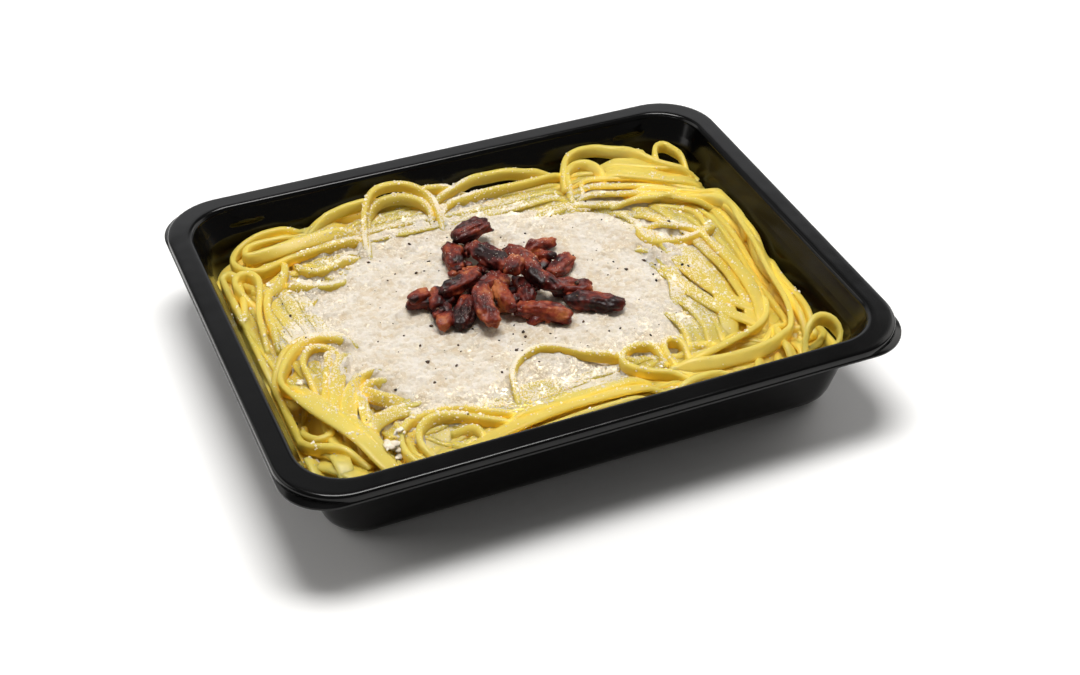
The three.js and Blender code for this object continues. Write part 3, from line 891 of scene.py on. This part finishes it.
# %% Front
bundle([(-22, -64), (-33, -58), (-44, -50.5), (-53, -47.5), (-61, -49.5), (-66.5, -56), (-67, -64),
        (-62, -72)])
bundle([(-25, -68), (-35, -61), (-45, -54), (-53, -51.5), (-59.5, -55), (-61, -62), (-57, -69)],
       ceiling=0.2)
bundle([(-49, -57), (-44, -59.5), (-41, -64), (-42, -71)], ceiling=0)
bundle([(-50, -62), (-47, -66), (-47, -72)], ceiling=-0.5)
bundle([(-34, -62), (-16, -61), (0, -60), (16, -60), (26, -62)], stance=0.35, width=6.0)
bundle([(-56, -72.5), (-44, -70), (-30, -67), (-15, -65), (0, -64.5), (15, -65), (28, -68)], stance=0.3,
       width=6.4)
bundle([(-40, -74), (-20, -71), (0, -69.5), (22, -70)], stance=0.5)
bundle([(38, -66), (29, -62), (21, -57), (17.5, -51), (20, -46), (26, -44), (31.5, -47), (33, -54)],
       ceiling=1.6)
bundle([(36, -57), (34.5, -49), (37.5, -44.5), (42, -47.5), (42, -55)])
bundle([(50, -61), (51, -66), (51, -72)], stance=TILTED, ceiling=-1)
bundle([(55, -61), (58, -66), (61, -72)], stance=TILTED, ceiling=-1)
bundle([(68, -61), (64, -66), (60, -72)], stance=TILTED, ceiling=-1)
bundle([(75, -60), (72, -66), (70, -72)], stance=TILTED, ceiling=-1)
bundle([(82, -54), (80, -62), (79, -72)], 2, 4.4, stance=FLAT)
bundle([(24, -72), (34, -69), (44, -67.5), (50, -69), (54, -73)])
bundle([(37, -54), (50, -55), (63, -52.5), (74, -48), (80, -40), (82, -26)], stance=0.4)
bundle([(81, -67, 0), (84, -62.5, 4), (88.5, -60, 6.5), (93, -60, 6.5), (96.5, -63, 5), (96.5, -69, 1)])

# %% Right side
bundle([(56, 34), (70, 16), (76, -8), (73, -30), (66, -50)], 2, 9.0, stance=0.1, width=6.6, ceiling=-0.6)
bundle([(62, 22), (60, 2), (63, -18), (70, -36), (80, -48)], 2, 8.0, stance=0.1, width=6.2, ceiling=-0.3)
bundle([(52, 18), (58, 4), (57, -12), (52, -26)], stance=0.1, width=6.0, ceiling=0)
bundle([(87, -33), (92, -27), (97.5, -19)], stance=FLAT, ceiling=1.5, dive=(4, 0))
bundle([(101, 32), (101, 18), (99, 4), (96, -10), (93.5, -26), (92.5, -42), (90, -56)], 2, 3.0)
bundle([(60, 26), (66, 22), (73, 17), (79, 10), (82, -5), (82, -21), (79, -36), (74, -50)], stance=0.3)
bundle([(56, 42), (64, 38.5), (75, 36.7), (85, 37), (93, 34.5), (98, 29), (99, 21), (97.5, 12), (95.5, -6),
        (91, -26), (88, -43), (82.5, -54), (76, -59), (68, -61), (53, -61), (42, -59.5), (33, -57)],
       stance=0.6, ceiling=1.7)
bundle([(64, 46), (72, 40), (80, 37), (90, 34), (98, 30), (100.5, 20), (98, 4)], 2, 3.4)

# %% Back
bundle([(44, 57), (58, 52), (72, 46), (86, 38), (98, 32)], 3, 5.0, stance=0.4, ceiling=0)
bundle([(58, 64), (70, 58), (80, 53), (90, 50), (100, 48)], 3, 4.6, stance=FLAT)
bundle([(-9, 57), (-6, 62), (4, 64.5), (16, 65.5), (30, 65), (42, 65.5), (49, 68)], ceiling=1.8)
bundle([(-12, 68), (-4, 69.5, 0.8), (4, 71.5, 2.5), (11, 73, 4.2), (18, 73.5, 4.5), (25, 72.5, 3.2),
        (33, 71, 1.2), (44, 70)])
bundle([(43, 50), (45, 58), (47.5, 65), (52, 68.5), (57, 67), (59.5, 60), (58.5, 52)])
bundle([(48, 49), (50, 56), (53, 61)])
bundle([(-60, 70), (-50, 73, 1), (-40, 75, 2), (-25, 75, 2.6), (-8, 74, 2.2), (6, 71.5, 0.5)], 2, 2.6)
bundle([(-42, 63), (-60, 62), (-76, 60.5), (-86, 61), (-84, 66), (-74, 67.5), (-60, 67.5)], stance=TILTED)
bundle([(-38, 55), (-55, 54), (-70, 53), (-83, 53), (-90, 57), (-91, 64), (-87, 69.5), (-78, 71.5),
        (-60, 71)], ceiling=1.6)
bundle([(-46, 38), (-44, 47), (-41, 57)], stance=0.3, dive=(7, 3))
bundle([(43, 58), (45.5, 65, 0.8), (48.5, 70, 3), (53, 73.5, 5.5), (58.5, 75, 6.8), (64, 74.5, 6.6),
        (69, 72.5, 5.5), (74, 69, 4), (78, 63, 2.4), (83, 57, 1), (90, 52.5), (99, 49)])
bundle([(84, 53), (84.5, 61, 3), (88, 67, 6), (92.5, 67, 6.3), (95, 60, 4), (95, 50, 0)])
bundle([(75, 66, 2), (78.5, 70, 4.5), (83, 70.5, 4.5), (86, 65, 2)])

# %% [markdown]
# ## The cheese
# Grated hard cheese lies on cream sauce in the middle, thick enough to hide the pasta, and thins out to
# nothing over the strands around it. It's one surface draped over the height map: level in the middle, and
# further out the strands' own shape plus a thickness that fades and breaks up. Where the thickness is
# negative the surface runs below the strands, so they come out of the cheese by themselves. One spot at the
# front left stays bare, because strands that stand apart there leave a hollow.


# %% Noise on the height map
NOISE_HALF = (130, 110)  # reaches past the map on every side


def noise_map(x, y, wavelength, seed, octaves=3):
    """Smooth random field between about -1 and 1, `wavelength` in millimetres, by blending random grids"""
    total = np.zeros_like(x)
    lattice_rng = np.random.default_rng(seed)
    half_x, half_y = NOISE_HALF
    for octave in range(octaves):
        size = wavelength / 2**octave
        cells = lattice_rng.uniform(-1, 1, (int(2 * half_x / size) + 4, int(2 * half_y / size) + 4))
        u, v = (x + half_x) / size, (y + half_y) / size
        i, j = np.floor(u).astype(int), np.floor(v).astype(int)
        fu, fv = u - i, v - j
        fu, fv = fu * fu * (3 - 2 * fu), fv * fv * (3 - 2 * fv)
        value = (cells[i, j] * (1 - fu) + cells[i + 1, j] * fu) * (1 - fv)
        value += (cells[i, j + 1] * (1 - fu) + cells[i + 1, j + 1] * fu) * fv
        total += value / 1.7**octave
    return total


# %% The cheese's surface
CHEESE_END = 1.36  # share of the bed at which the cheese ends
BARE_SPOT = (-69, -33, 9.0)  # x, y, radius
BARE_COVER, BARE_LEVEL = 3.5, 9  # how much thinner and lower the cheese is there
share = bed_share(grid_x, grid_y)
level = BED_EDGE_HEIGHT - BED_HOLLOW * (1 - np.minimum(share, 1) ** 2) - 14 * np.maximum(share - 0.98, 0)
lumps = 0.5 * noise_map(grid_x, grid_y, 8.0, 11) + 0.5 * noise_map(grid_x, grid_y, 2.6, 12, 2)
cover = 0.9 - 3.2 * smoothstep(share, 0.86, CHEESE_END) + 0.8 * noise_map(grid_x, grid_y, 7.0, 13)
cover += 0.75 * noise_map(grid_x, grid_y, 2.4, 14, 2) * smoothstep(share, 0.7, 0.95)
cover -= mounds(grid_x, grid_y, [(*BARE_SPOT, BARE_COVER)])
level -= mounds(grid_x, grid_y, [(*BARE_SPOT, BARE_LEVEL)])
draped = blurred_map(heights, 1.6) + cover
cheese_height = np.maximum(level, draped) + lumps * smoothstep(CHEESE_END - share, 0, 0.3)
cheese_height = np.where(share < CHEESE_END + 0.01, cheese_height, heights - 3)
print("cheese covers", int((cheese_height > heights).sum() * CELL**2 / 100), "square centimetres")

# %% [markdown]
# ### Finish: grated cheese
# Matt, a warm white, in clouds of paler and yellower cheese, and with a tone of its own for every small
# cell. Grains too fine to model are relief.

# %% Cheese
cheese_finish, tree, shader = new_material("grated cheese")
place = surface(tree)["Position"]
grated = add_node(tree, "ShaderNodeTexVoronoi", {"Vector": place, "Scale": 600.0, "Randomness": 1.0}).outputs
own_tone = add_node(tree, "ShaderNodeSeparateColor", {"Color": grated["Color"]}).outputs["Red"]
grain_tone = add_math(tree, "MULTIPLY", own_tone, 0.22)
cheese_tone = add_math(tree, "ADD", add_noise(tree, place, 90.0, 6.0, 0.75), grain_tone)
whites = [(0.44, (0.575, 0.47, 0.335)), (0.6, (0.635, 0.565, 0.465)), (0.74, (0.69, 0.635, 0.56))]
bumps = use_group(tree, relief, {"Coarse per metre": 450.0, "Fine per metre": 1500.0, "Fine share": 0.4})
shader.subsurface_method = "BURLEY"
feed(tree, shader, {
    "Base Color": add_ramp(tree, cheese_tone, whites),
    "Roughness": 0.9,
    "Normal": add_bump(tree, add_math(tree, "SUBTRACT", bumps, grated["Distance"]), 0.7, 0.0005),
    "Subsurface Weight": 0.8,
    "Subsurface Radius": (1.0, 0.85, 0.65),
    "Subsurface Scale": 0.0015,
})

# %% Cheese piece
CHEESE_DEPTH = 4.0
CHEESE_TURNS, CHEESE_RINGS = 420, 172
angles = np.linspace(0, 2 * math.pi, CHEESE_TURNS, endpoint=False)


def bed_point(angle, wanted):
    """Point at a given share of the bed, in one direction from its middle"""
    ux, uy = np.cos(angle), np.sin(angle)
    reach = wanted / bed_share(BED_MIDDLE[0] + ux, BED_MIDDLE[1] + uy)
    return BED_MIDDLE[0] + ux * reach, BED_MIDDLE[1] + uy * reach


cheese_rings = []
for wanted in np.linspace(0.004, CHEESE_END, CHEESE_RINGS)[::-1]:
    x, y = bed_point(angles, wanted)
    cheese_rings.append(np.column_stack([x, y, look_up(cheese_height, x, y)]))
cheese_under = []
for wanted in (0.2, 0.7, 1.1, 1.34):
    x, y = bed_point(angles, wanted)
    under_side = np.minimum(look_up(cheese_height, x, y), look_up(heights, x, y)) - CHEESE_DEPTH
    cheese_under.append(np.column_stack([x, y, under_side]))
cheese = make_piece("cheese_over_sauce", *loft(cheese_under + cheese_rings), cheese_finish, slot="cheese")
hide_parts("cheese_bed")
heights = np.maximum(heights, cheese_height)

# %% [markdown]
# ### The strands over the cheese
# A few strands were lifted on to the plate last, or spring up out of it in an arch, so they lie on the cheese
# and not under it.

# %% Strands over the cheese
bundle([(-23, -54), (-20.5, -42), (-15, -34.5), (-7, -31.5), (1, -34), (7, -40), (14, -45), (23, -48)],
       ceiling=1.8)
bundle([(60, 28), (57.5, 18), (60, 11), (67, 8), (76, 9), (84, 12), (90, 18)])
bundle([(-38, 60), (-36, 66, 1), (-30, 70, 3), (-20, 69, 3), (-13, 63, 1.5), (-13, 56)])
bundle([(-44, 44), (-41, 56, 1), (-38, 65, 3.5), (-33, 71, 6.5), (-26, 73, 7.5), (-18, 72, 6.5),
        (-12, 67, 4), (-10, 60, 1), (-11, 51)])
print("strands in all:", len(strands))

# %% [markdown]
# ### From strands to meshes
# Each strand becomes a tube with a flattened, round-edged section, swept along its line and rolled as it was
# laid. Its width and thickness vary a little, as cut dough does, and its ends are closed. All strands of a
# layer are joined into one mesh, and a number stored at each point gives each strand its own tone of yellow.

# %% Sweeping the strands
SECTION_POINTS = 12
END_BULGE = 0.3
MESH_EVERY = {"upper": 3, "lower": 4}  # laying stations for each station of the mesh
section_angle = (np.arange(SECTION_POINTS) + 0.5) * 2 * math.pi / SECTION_POINTS
section_u = squared(np.cos(section_angle), 0.55)
section_v = squared(np.sin(section_angle), 0.65)


def sweep(strand):
    """Points and faces of one strand"""
    last = len(strand["line"]) - 1
    picked = np.unique(np.append(np.arange(0, last, MESH_EVERY[strand["layer"]]), last))
    line, roll = strand["line"][picked], strand["roll"][picked]
    along = np.gradient(line, axis=0)
    along /= np.linalg.norm(along, axis=1)[:, None]
    side = np.cross(along, [0, 0, 1.0])
    side /= np.linalg.norm(side, axis=1)[:, None]
    up = np.cross(side, along)
    cosine, sine = np.cos(roll)[:, None], np.sin(roll)[:, None]
    width_axis, thick_axis = side * cosine + up * sine, up * cosine - side * sine
    count = len(line)
    wide = strand["wide"] / 2 * (1 + 0.5 * wander(count, 14, 0.06))
    thick = strand["thick"] / 2 * (1 + 0.5 * wander(count, 9, 0.08))
    rings = (
        line[:, None]
        + width_axis[:, None] * (wide[:, None] * section_u)[..., None]
        + thick_axis[:, None] * (thick[:, None] * section_v)[..., None]
    )
    tips = line[:1] - along[:1] * END_BULGE, line[-1:] + along[-1:] * END_BULGE
    points = np.vstack([rings.reshape(-1, 3), *tips])
    faces = strip_faces(count, SECTION_POINTS)[:, ::-1].tolist()
    faces += cap_faces(0, SECTION_POINTS, len(points) - 2, False)
    faces += cap_faces((count - 1) * SECTION_POINTS, SECTION_POINTS, len(points) - 1, True)
    return points, faces


def join_strands(name, layer):
    """One piece out of all strands of a layer, each with its own tone"""
    parts = [(*sweep(strand), rng.uniform(-0.14, 0.14)) for strand in strands if strand["layer"] == layer]
    points, faces, tones = join_parts(parts)
    piece = make_piece(name, points, faces, pasta_finish, slot="pasta")
    store(piece, "tone", tones)
    return piece


lower_pasta = join_strands("pasta_lower", "lower")
upper_pasta = join_strands("pasta_upper", "upper")

# %% How deep each point lies among the others
general_height = blurred_map(heights, 1.6 / CELL)
for piece in (core, lower_pasta, upper_pasta):
    points = np.array([v.co for v in piece.data.vertices]) / MM
    below = look_up(general_height, points[:, 0], points[:, 1]) - points[:, 2]
    # the pasta finish paints its crease shade from this depth
    store(piece, "sunk", smoothstep(below, -0.4, 2.8))

# %% [markdown]
# ## The bacon
# Lardons are short bars of fried streaky bacon: dark red-brown meat with lighter fat, grooved along its
# fibres, wet with fat and charred in places. The CAD nodes already lie where each lardon rests,
# so each gets a finer mesh over the same bar, and its points are moved by noise that's stretched along it.

# %% Bacon finish
# pale specks on the bacon: partly grains of cheese, partly painted glints of light on the rough meat
BACON_POWDER_AND_GLINT = (0.42, 0.28, 0.25)
bacon_finish, tree, shader = new_material("fried bacon")
place = surface(tree)["Position"]
patch = add_noise(tree, place, 130.0, 5.0, 0.6)
piece_tone = point_value(tree, "tone")
meats = [
    (0.40, (0.014, 0.002, 0.002)),
    (0.50, (0.10, 0.009, 0.006)),
    (0.60, (0.24, 0.035, 0.013)),
    (0.71, (0.44, 0.14, 0.045)),
]
meat = add_ramp(tree, add_math(tree, "ADD", patch, piece_tone), meats)
# where this mask is high the bacon gets pale specks: cheese powder and painted glints together
powder = use_group(tree, dust, {"Amount": 0.22, "Specks per metre": 2600.0})
bumps = use_group(tree, relief, {"Coarse per metre": 450.0, "Fine per metre": 1500.0, "Fine share": 0.25})
feed(tree, shader, {
    "Base Color": add_mix(tree, powder, meat, BACON_POWDER_AND_GLINT),
    "Roughness": add_range(tree, patch, (0, 1), (0.28, 0.6)),
    "Specular IOR Level": 0.3,
    "Normal": add_bump(tree, bumps, 0.6, 0.0004),
    "Subsurface Weight": 0.1,
    "Subsurface Radius": (1.0, 0.2, 0.1),
    "Subsurface Scale": 0.001,
})

# %% Lardons
LARDON_VOXEL, BIT_VOXEL = 0.5, 0.9
lardon_names = sorted(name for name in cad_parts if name.startswith("lardon"))


def remeshed(name, voxel):
    """Points, normals and quads of a CAD node, remeshed to small even faces"""
    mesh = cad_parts[name].data.copy()
    copy = bpy.data.objects.new("copy", mesh)
    scene.collection.objects.link(copy)
    fine = copy.modifiers.new("fine", "REMESH")
    fine.mode = "VOXEL"
    fine.voxel_size = voxel * MM
    settled = copy.modifiers.new("soft", "SMOOTH")
    settled.iterations = 2
    evaluated = copy.evaluated_get(bpy.context.evaluated_depsgraph_get()).to_mesh()
    points = np.array([v.co for v in evaluated.vertices]) / MM
    normals = np.array([v.normal for v in evaluated.vertices])
    faces = [list(p.vertices) for p in evaluated.polygons]
    bpy.data.objects.remove(copy)
    bpy.data.meshes.remove(mesh)
    return points, normals, faces


def gnarled(points, normals, seed):
    """The points moved in and out: long grooves along the bar and lumps across it"""
    middle = points.mean(0)
    axes = np.linalg.svd(points - middle, full_matrices=False)[2]
    own = (points - middle) @ axes.T
    moved = np.empty(len(points))
    for k, (a, b, c) in enumerate(own):
        grooves = noise.noise(Vector((a * 0.16 + seed * 9, b * 0.75, c * 0.75)))
        lumps = noise.noise(Vector((a * 0.35, b * 0.35 + seed * 5, c * 0.35)))
        fibres = noise.noise(Vector((a * 0.5, b * 2.0, c * 2.0 + seed * 3)))
        moved[k] = 1.0 * grooves + 0.55 * lumps + 0.35 * fibres + 0.45
    return points + normals * moved[:, None]


lardon_parts = []
for number, name in enumerate(lardon_names):
    points, normals, faces = remeshed(name, LARDON_VOXEL)
    lardon_parts.append((gnarled(points, normals, number + 1), faces, rng.uniform(-0.1, 0.1)))
points, faces, tones = join_parts(lardon_parts)
lardons = make_piece("lardons", points, faces, bacon_finish, slot="bacon")
store(lardons, "tone", tones)
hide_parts(*lardon_names)

# %% [markdown]
# ### Small bits of bacon
# Between and under the lardons lie the crumbs of the same bacon. Their shapes are those of seven lardons,
# made smaller and turned, which saves modelling ninety by hand.

# %% Small bits of bacon
BIT_COUNT, BIT_SEED = 90, 40
lardon_boxes = [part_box(name) for name in lardon_names]
lardon_middles = [np.array((low + high) / 2) / MM for low, high in lardon_boxes]
bit_shapes = []
for name in lardon_names[:7]:
    points, normals, faces = remeshed(name, BIT_VOXEL)
    points = gnarled(points, normals, len(bit_shapes) + BIT_SEED)
    bit_shapes.append((points - points.mean(0), faces))
bit_parts = []
for number in range(BIT_COUNT):
    points, faces = bit_shapes[number % len(bit_shapes)]
    here = lardon_middles[rng.integers(len(lardon_middles))]
    neighbours = [m for m in lardon_middles if 0 < np.hypot(*(m - here)[:2]) < 15]
    there = neighbours[rng.integers(len(neighbours))] if neighbours else here
    x, y = (here + (there - here) * rng.uniform(0.2, 0.8))[:2] + rng.normal(0, 1.6, 2)
    turn = Quaternion((0, 0, 1), rng.uniform(0, 6.3)) @ Quaternion((1, 0, 0), rng.uniform(-0.5, 0.5))
    turned = points * rng.uniform(0.4, 0.7) @ np.array(turn.to_matrix()).T
    resting = look_up(heights, np.array([x]), np.array([y]))[0]
    turned += np.array([x, y, resting + 0.6 - turned[:, 2].min() * 0.7])
    bit_parts.append((turned, faces, rng.uniform(-0.12, 0.12)))
points, faces, tones = join_parts(bit_parts)
bacon_bits = make_piece("bacon_bits", points, faces, bacon_finish, slot="bacon")
store(bacon_bits, "tone", tones)

# %% [markdown]
# ## Crumbs and pepper
# Crumbs and grains of cheese and cracked pepper lie on everything near the bed. Each is a tiny lumpy solid,
# dropped straight down until it meets the surface, which we find by casting a ray.
#
# ### Finish: grains of cheese
# A grain a millimetre across is translucent all through, so it has no dark side. Scattering in thousands of
# grains is slow to compute; turning their shading normals mostly upwards looks much the same, for nothing.

# %% Grains of cheese
grain_finish, tree, shader = new_material("grains of cheese")
geometry = surface(tree)
pales = [(0.35, (0.70, 0.62, 0.48)), (0.65, (0.77, 0.71, 0.60))]
own_share = add_vector_math(tree, "MULTIPLY", geometry["Normal"], (0.35, 0.35, 0.35))
raised = add_vector_math(tree, "ADD", own_share, (0, 0, 0.8))
shader.subsurface_method = "BURLEY"
feed(tree, shader, {
    "Base Color": add_ramp(tree, add_noise(tree, geometry["Position"], 300.0), pales),
    "Roughness": 0.9,
    "Specular IOR Level": 0.2,
    "Normal": add_vector_math(tree, "NORMALIZE", raised),
    "Subsurface Weight": 1.0,
    "Subsurface Radius": (1.0, 0.9, 0.8),
    "Subsurface Scale": 0.001,
})


# %% Ground to drop things on
def ground_of(pieces):
    """A tree to cast rays at, out of several pieces"""
    points, faces, start = [], [], 0
    for piece in pieces:
        points += [v.co.copy() for v in piece.data.vertices]
        faces += [[v + start for v in p.vertices] for p in piece.data.polygons]
        start += len(piece.data.vertices)
    return BVHTree.FromPolygons(points, faces)


bare_ground = ground_of([core, lower_pasta, upper_pasta, cheese, tray])
ground = ground_of([core, lower_pasta, upper_pasta, cheese, tray, lardons, bacon_bits])
DOWN = Vector((0, 0, -1))
DROP_FROM = 0.08  # metres
LOWEST_REST = 12  # millimetres: nothing is left to lie lower
SCATTER_HALF = (98, 73)


def drop(x, y, onto=ground):
    """Point and normal of the surface under a spot, in millimetres"""
    hit, normal, _, _ = onto.ray_cast(Vector((x * MM, y * MM, DROP_FROM)), DOWN)
    return (np.array(hit) / MM, np.array(normal)) if hit else (None, None)


GOLDEN = (1 + math.sqrt(5)) / 2
ICOSAHEDRON = np.array([(a, b * GOLDEN, 0) for a in (-1, 1) for b in (-1, 1)], float)
ICOSAHEDRON = np.vstack([np.roll(ICOSAHEDRON, k, axis=1) for k in range(3)]) / math.hypot(1, GOLDEN)
OCTAHEDRON = np.vstack([np.eye(3), -np.eye(3)])


def outward_faces(corners, edge):
    """Triangles between corners that are an edge apart, each turned to face outwards"""
    near = np.linalg.norm(corners[:, None] - corners[None], axis=2) < edge * 1.05
    faces = []
    for a in range(len(corners)):
        for b in range(a + 1, len(corners)):
            for c in range(b + 1, len(corners)):
                if near[a, b] and near[b, c] and near[a, c]:
                    outward = np.linalg.det(corners[[a, b, c]]) > 0
                    faces.append((a, b, c) if outward else (a, c, b))
    return faces


LUMP = (ICOSAHEDRON, outward_faces(ICOSAHEDRON, 2 / math.hypot(1, GOLDEN)))
GRAIN = (OCTAHEDRON, outward_faces(OCTAHEDRON, math.sqrt(2)))


def crumb(corners, centre, size):
    """A small uneven solid turned at random"""
    axes, _ = np.linalg.qr(rng.normal(size=(3, 3)))
    if np.linalg.det(axes) < 0:
        axes[0] *= -1
    shape = corners * rng.uniform(0.65, 1.3, (len(corners), 1)) * size / 2
    turned = (shape * [1.0, rng.uniform(0.6, 1), rng.uniform(0.5, 0.9)]) @ axes
    return centre + turned * [1, 1, 0.75]


def scatter(name, spots, sizes, material, solid=LUMP, onto=ground, lift=0.1):
    """Drops a crumb at each spot and joins them into one piece"""
    corners, corner_faces = solid
    points, faces = [], []
    for (x, y), size in zip(spots, sizes):
        hit, normal = drop(x, y, onto)
        if hit is None or hit[2] < LOWEST_REST:
            continue
        start = len(points) * len(corners)
        points.append(crumb(corners, hit + normal * size * lift, size))
        faces += [[v + start for v in face] for face in corner_faces]
    return make_piece(name, np.vstack(points), faces, material, slot="cheese")


def scattered(*drifts):
    """Random spots over the tray. A drift is a count, and the mean and spread of its share of the bed."""
    spots = []
    for count, middle, spread in drifts:
        wanted = np.abs(rng.normal(middle, spread, count))
        drift = np.column_stack(bed_point(rng.uniform(0, 2 * math.pi, count), wanted))
        spots.append(drift[(np.abs(drift) < SCATTER_HALF).all(axis=1)])
    return np.vstack(spots)


# %% Crumbs of cheese
clumps = scattered((480, 1.15, 0.13), (120, 0.7, 0.3), (80, 1.45, 0.2))
in_clumps = np.repeat(clumps, rng.integers(3, 15, len(clumps)), axis=0)
in_clumps += rng.normal(0, 1.3, in_clumps.shape)
loose = scattered((1500, 1.12, 0.16), (350, 1.5, 0.2))
crumb_sizes = np.minimum(rng.gamma(3.0, 0.19, len(in_clumps)) + 0.3, 1.5)
crumbs = scatter("cheese_crumbs", in_clumps, crumb_sizes, grain_finish, onto=bare_ground)
crumbs.visible_shadow = False  # a translucent grain hardly casts one

# %% Fine grains of cheese
grain_spots = scattered((11000, 1.12, 0.1), (5000, 1.28, 0.14), (3000, 0.75, 0.3))
grain_sizes = rng.uniform(0.3, 0.8, len(grain_spots))
grain_spots = np.vstack([grain_spots, loose])
grain_sizes = np.append(grain_sizes, rng.uniform(0.5, 1.2, len(loose)))
grains = scatter("cheese_grains", grain_spots, grain_sizes, grain_finish, GRAIN, bare_ground)
grains.visible_shadow = False

# %% A few grains on the bacon
on_bacon = np.column_stack([rng.normal(2, 14, 420), rng.normal(14, 14, 420)])
scatter("cheese_on_bacon", on_bacon, rng.uniform(0.25, 0.6, len(on_bacon)), grain_finish, GRAIN)

# %% Coarse lumps of cheese
COARSE_LUMPS = [  # x, y, radius
    (-70.4, -58.5, 3.4),
    (-67.4, -55.0, 2.0),
    (-88.8, -15.4, 1.3),
    (-82.2, 44.6, 1.4),
    (-73.5, 33, 1.2),
]
CRUMBS_IN_LUMP = 26
coarse_spots, coarse_sizes = [], []
for x, y, radius in COARSE_LUMPS:
    for _ in range(CRUMBS_IN_LUMP):
        turn, out = rng.uniform(0, 2 * math.pi), radius * math.sqrt(rng.uniform(0, 1))
        coarse_spots.append((x + out * math.cos(turn), y + out * math.sin(turn)))
        coarse_sizes.append((1.6 - out / radius) * radius * rng.uniform(0.7, 1.1))
scatter("cheese_lumps", coarse_spots, coarse_sizes, grain_finish, onto=bare_ground, lift=0.45)

# %% Pepper
pepper_finish, tree, shader = new_material("cracked black pepper")
place = surface(tree)["Position"]
husks = [(0.42, (0.012, 0.009, 0.008)), (0.62, (0.12, 0.06, 0.03))]
feed(tree, shader, {"Base Color": add_ramp(tree, add_noise(tree, place, 900.0), husks), "Roughness": 0.8})
pepper_spots = scattered((190, 0.7, 0.3), (60, 1.2, 0.15))
pepper_sizes = np.minimum(rng.gamma(1.5, 0.38, len(pepper_spots)) + 0.25, 2.2)
scatter("cracked_pepper", pepper_spots, pepper_sizes, pepper_finish)
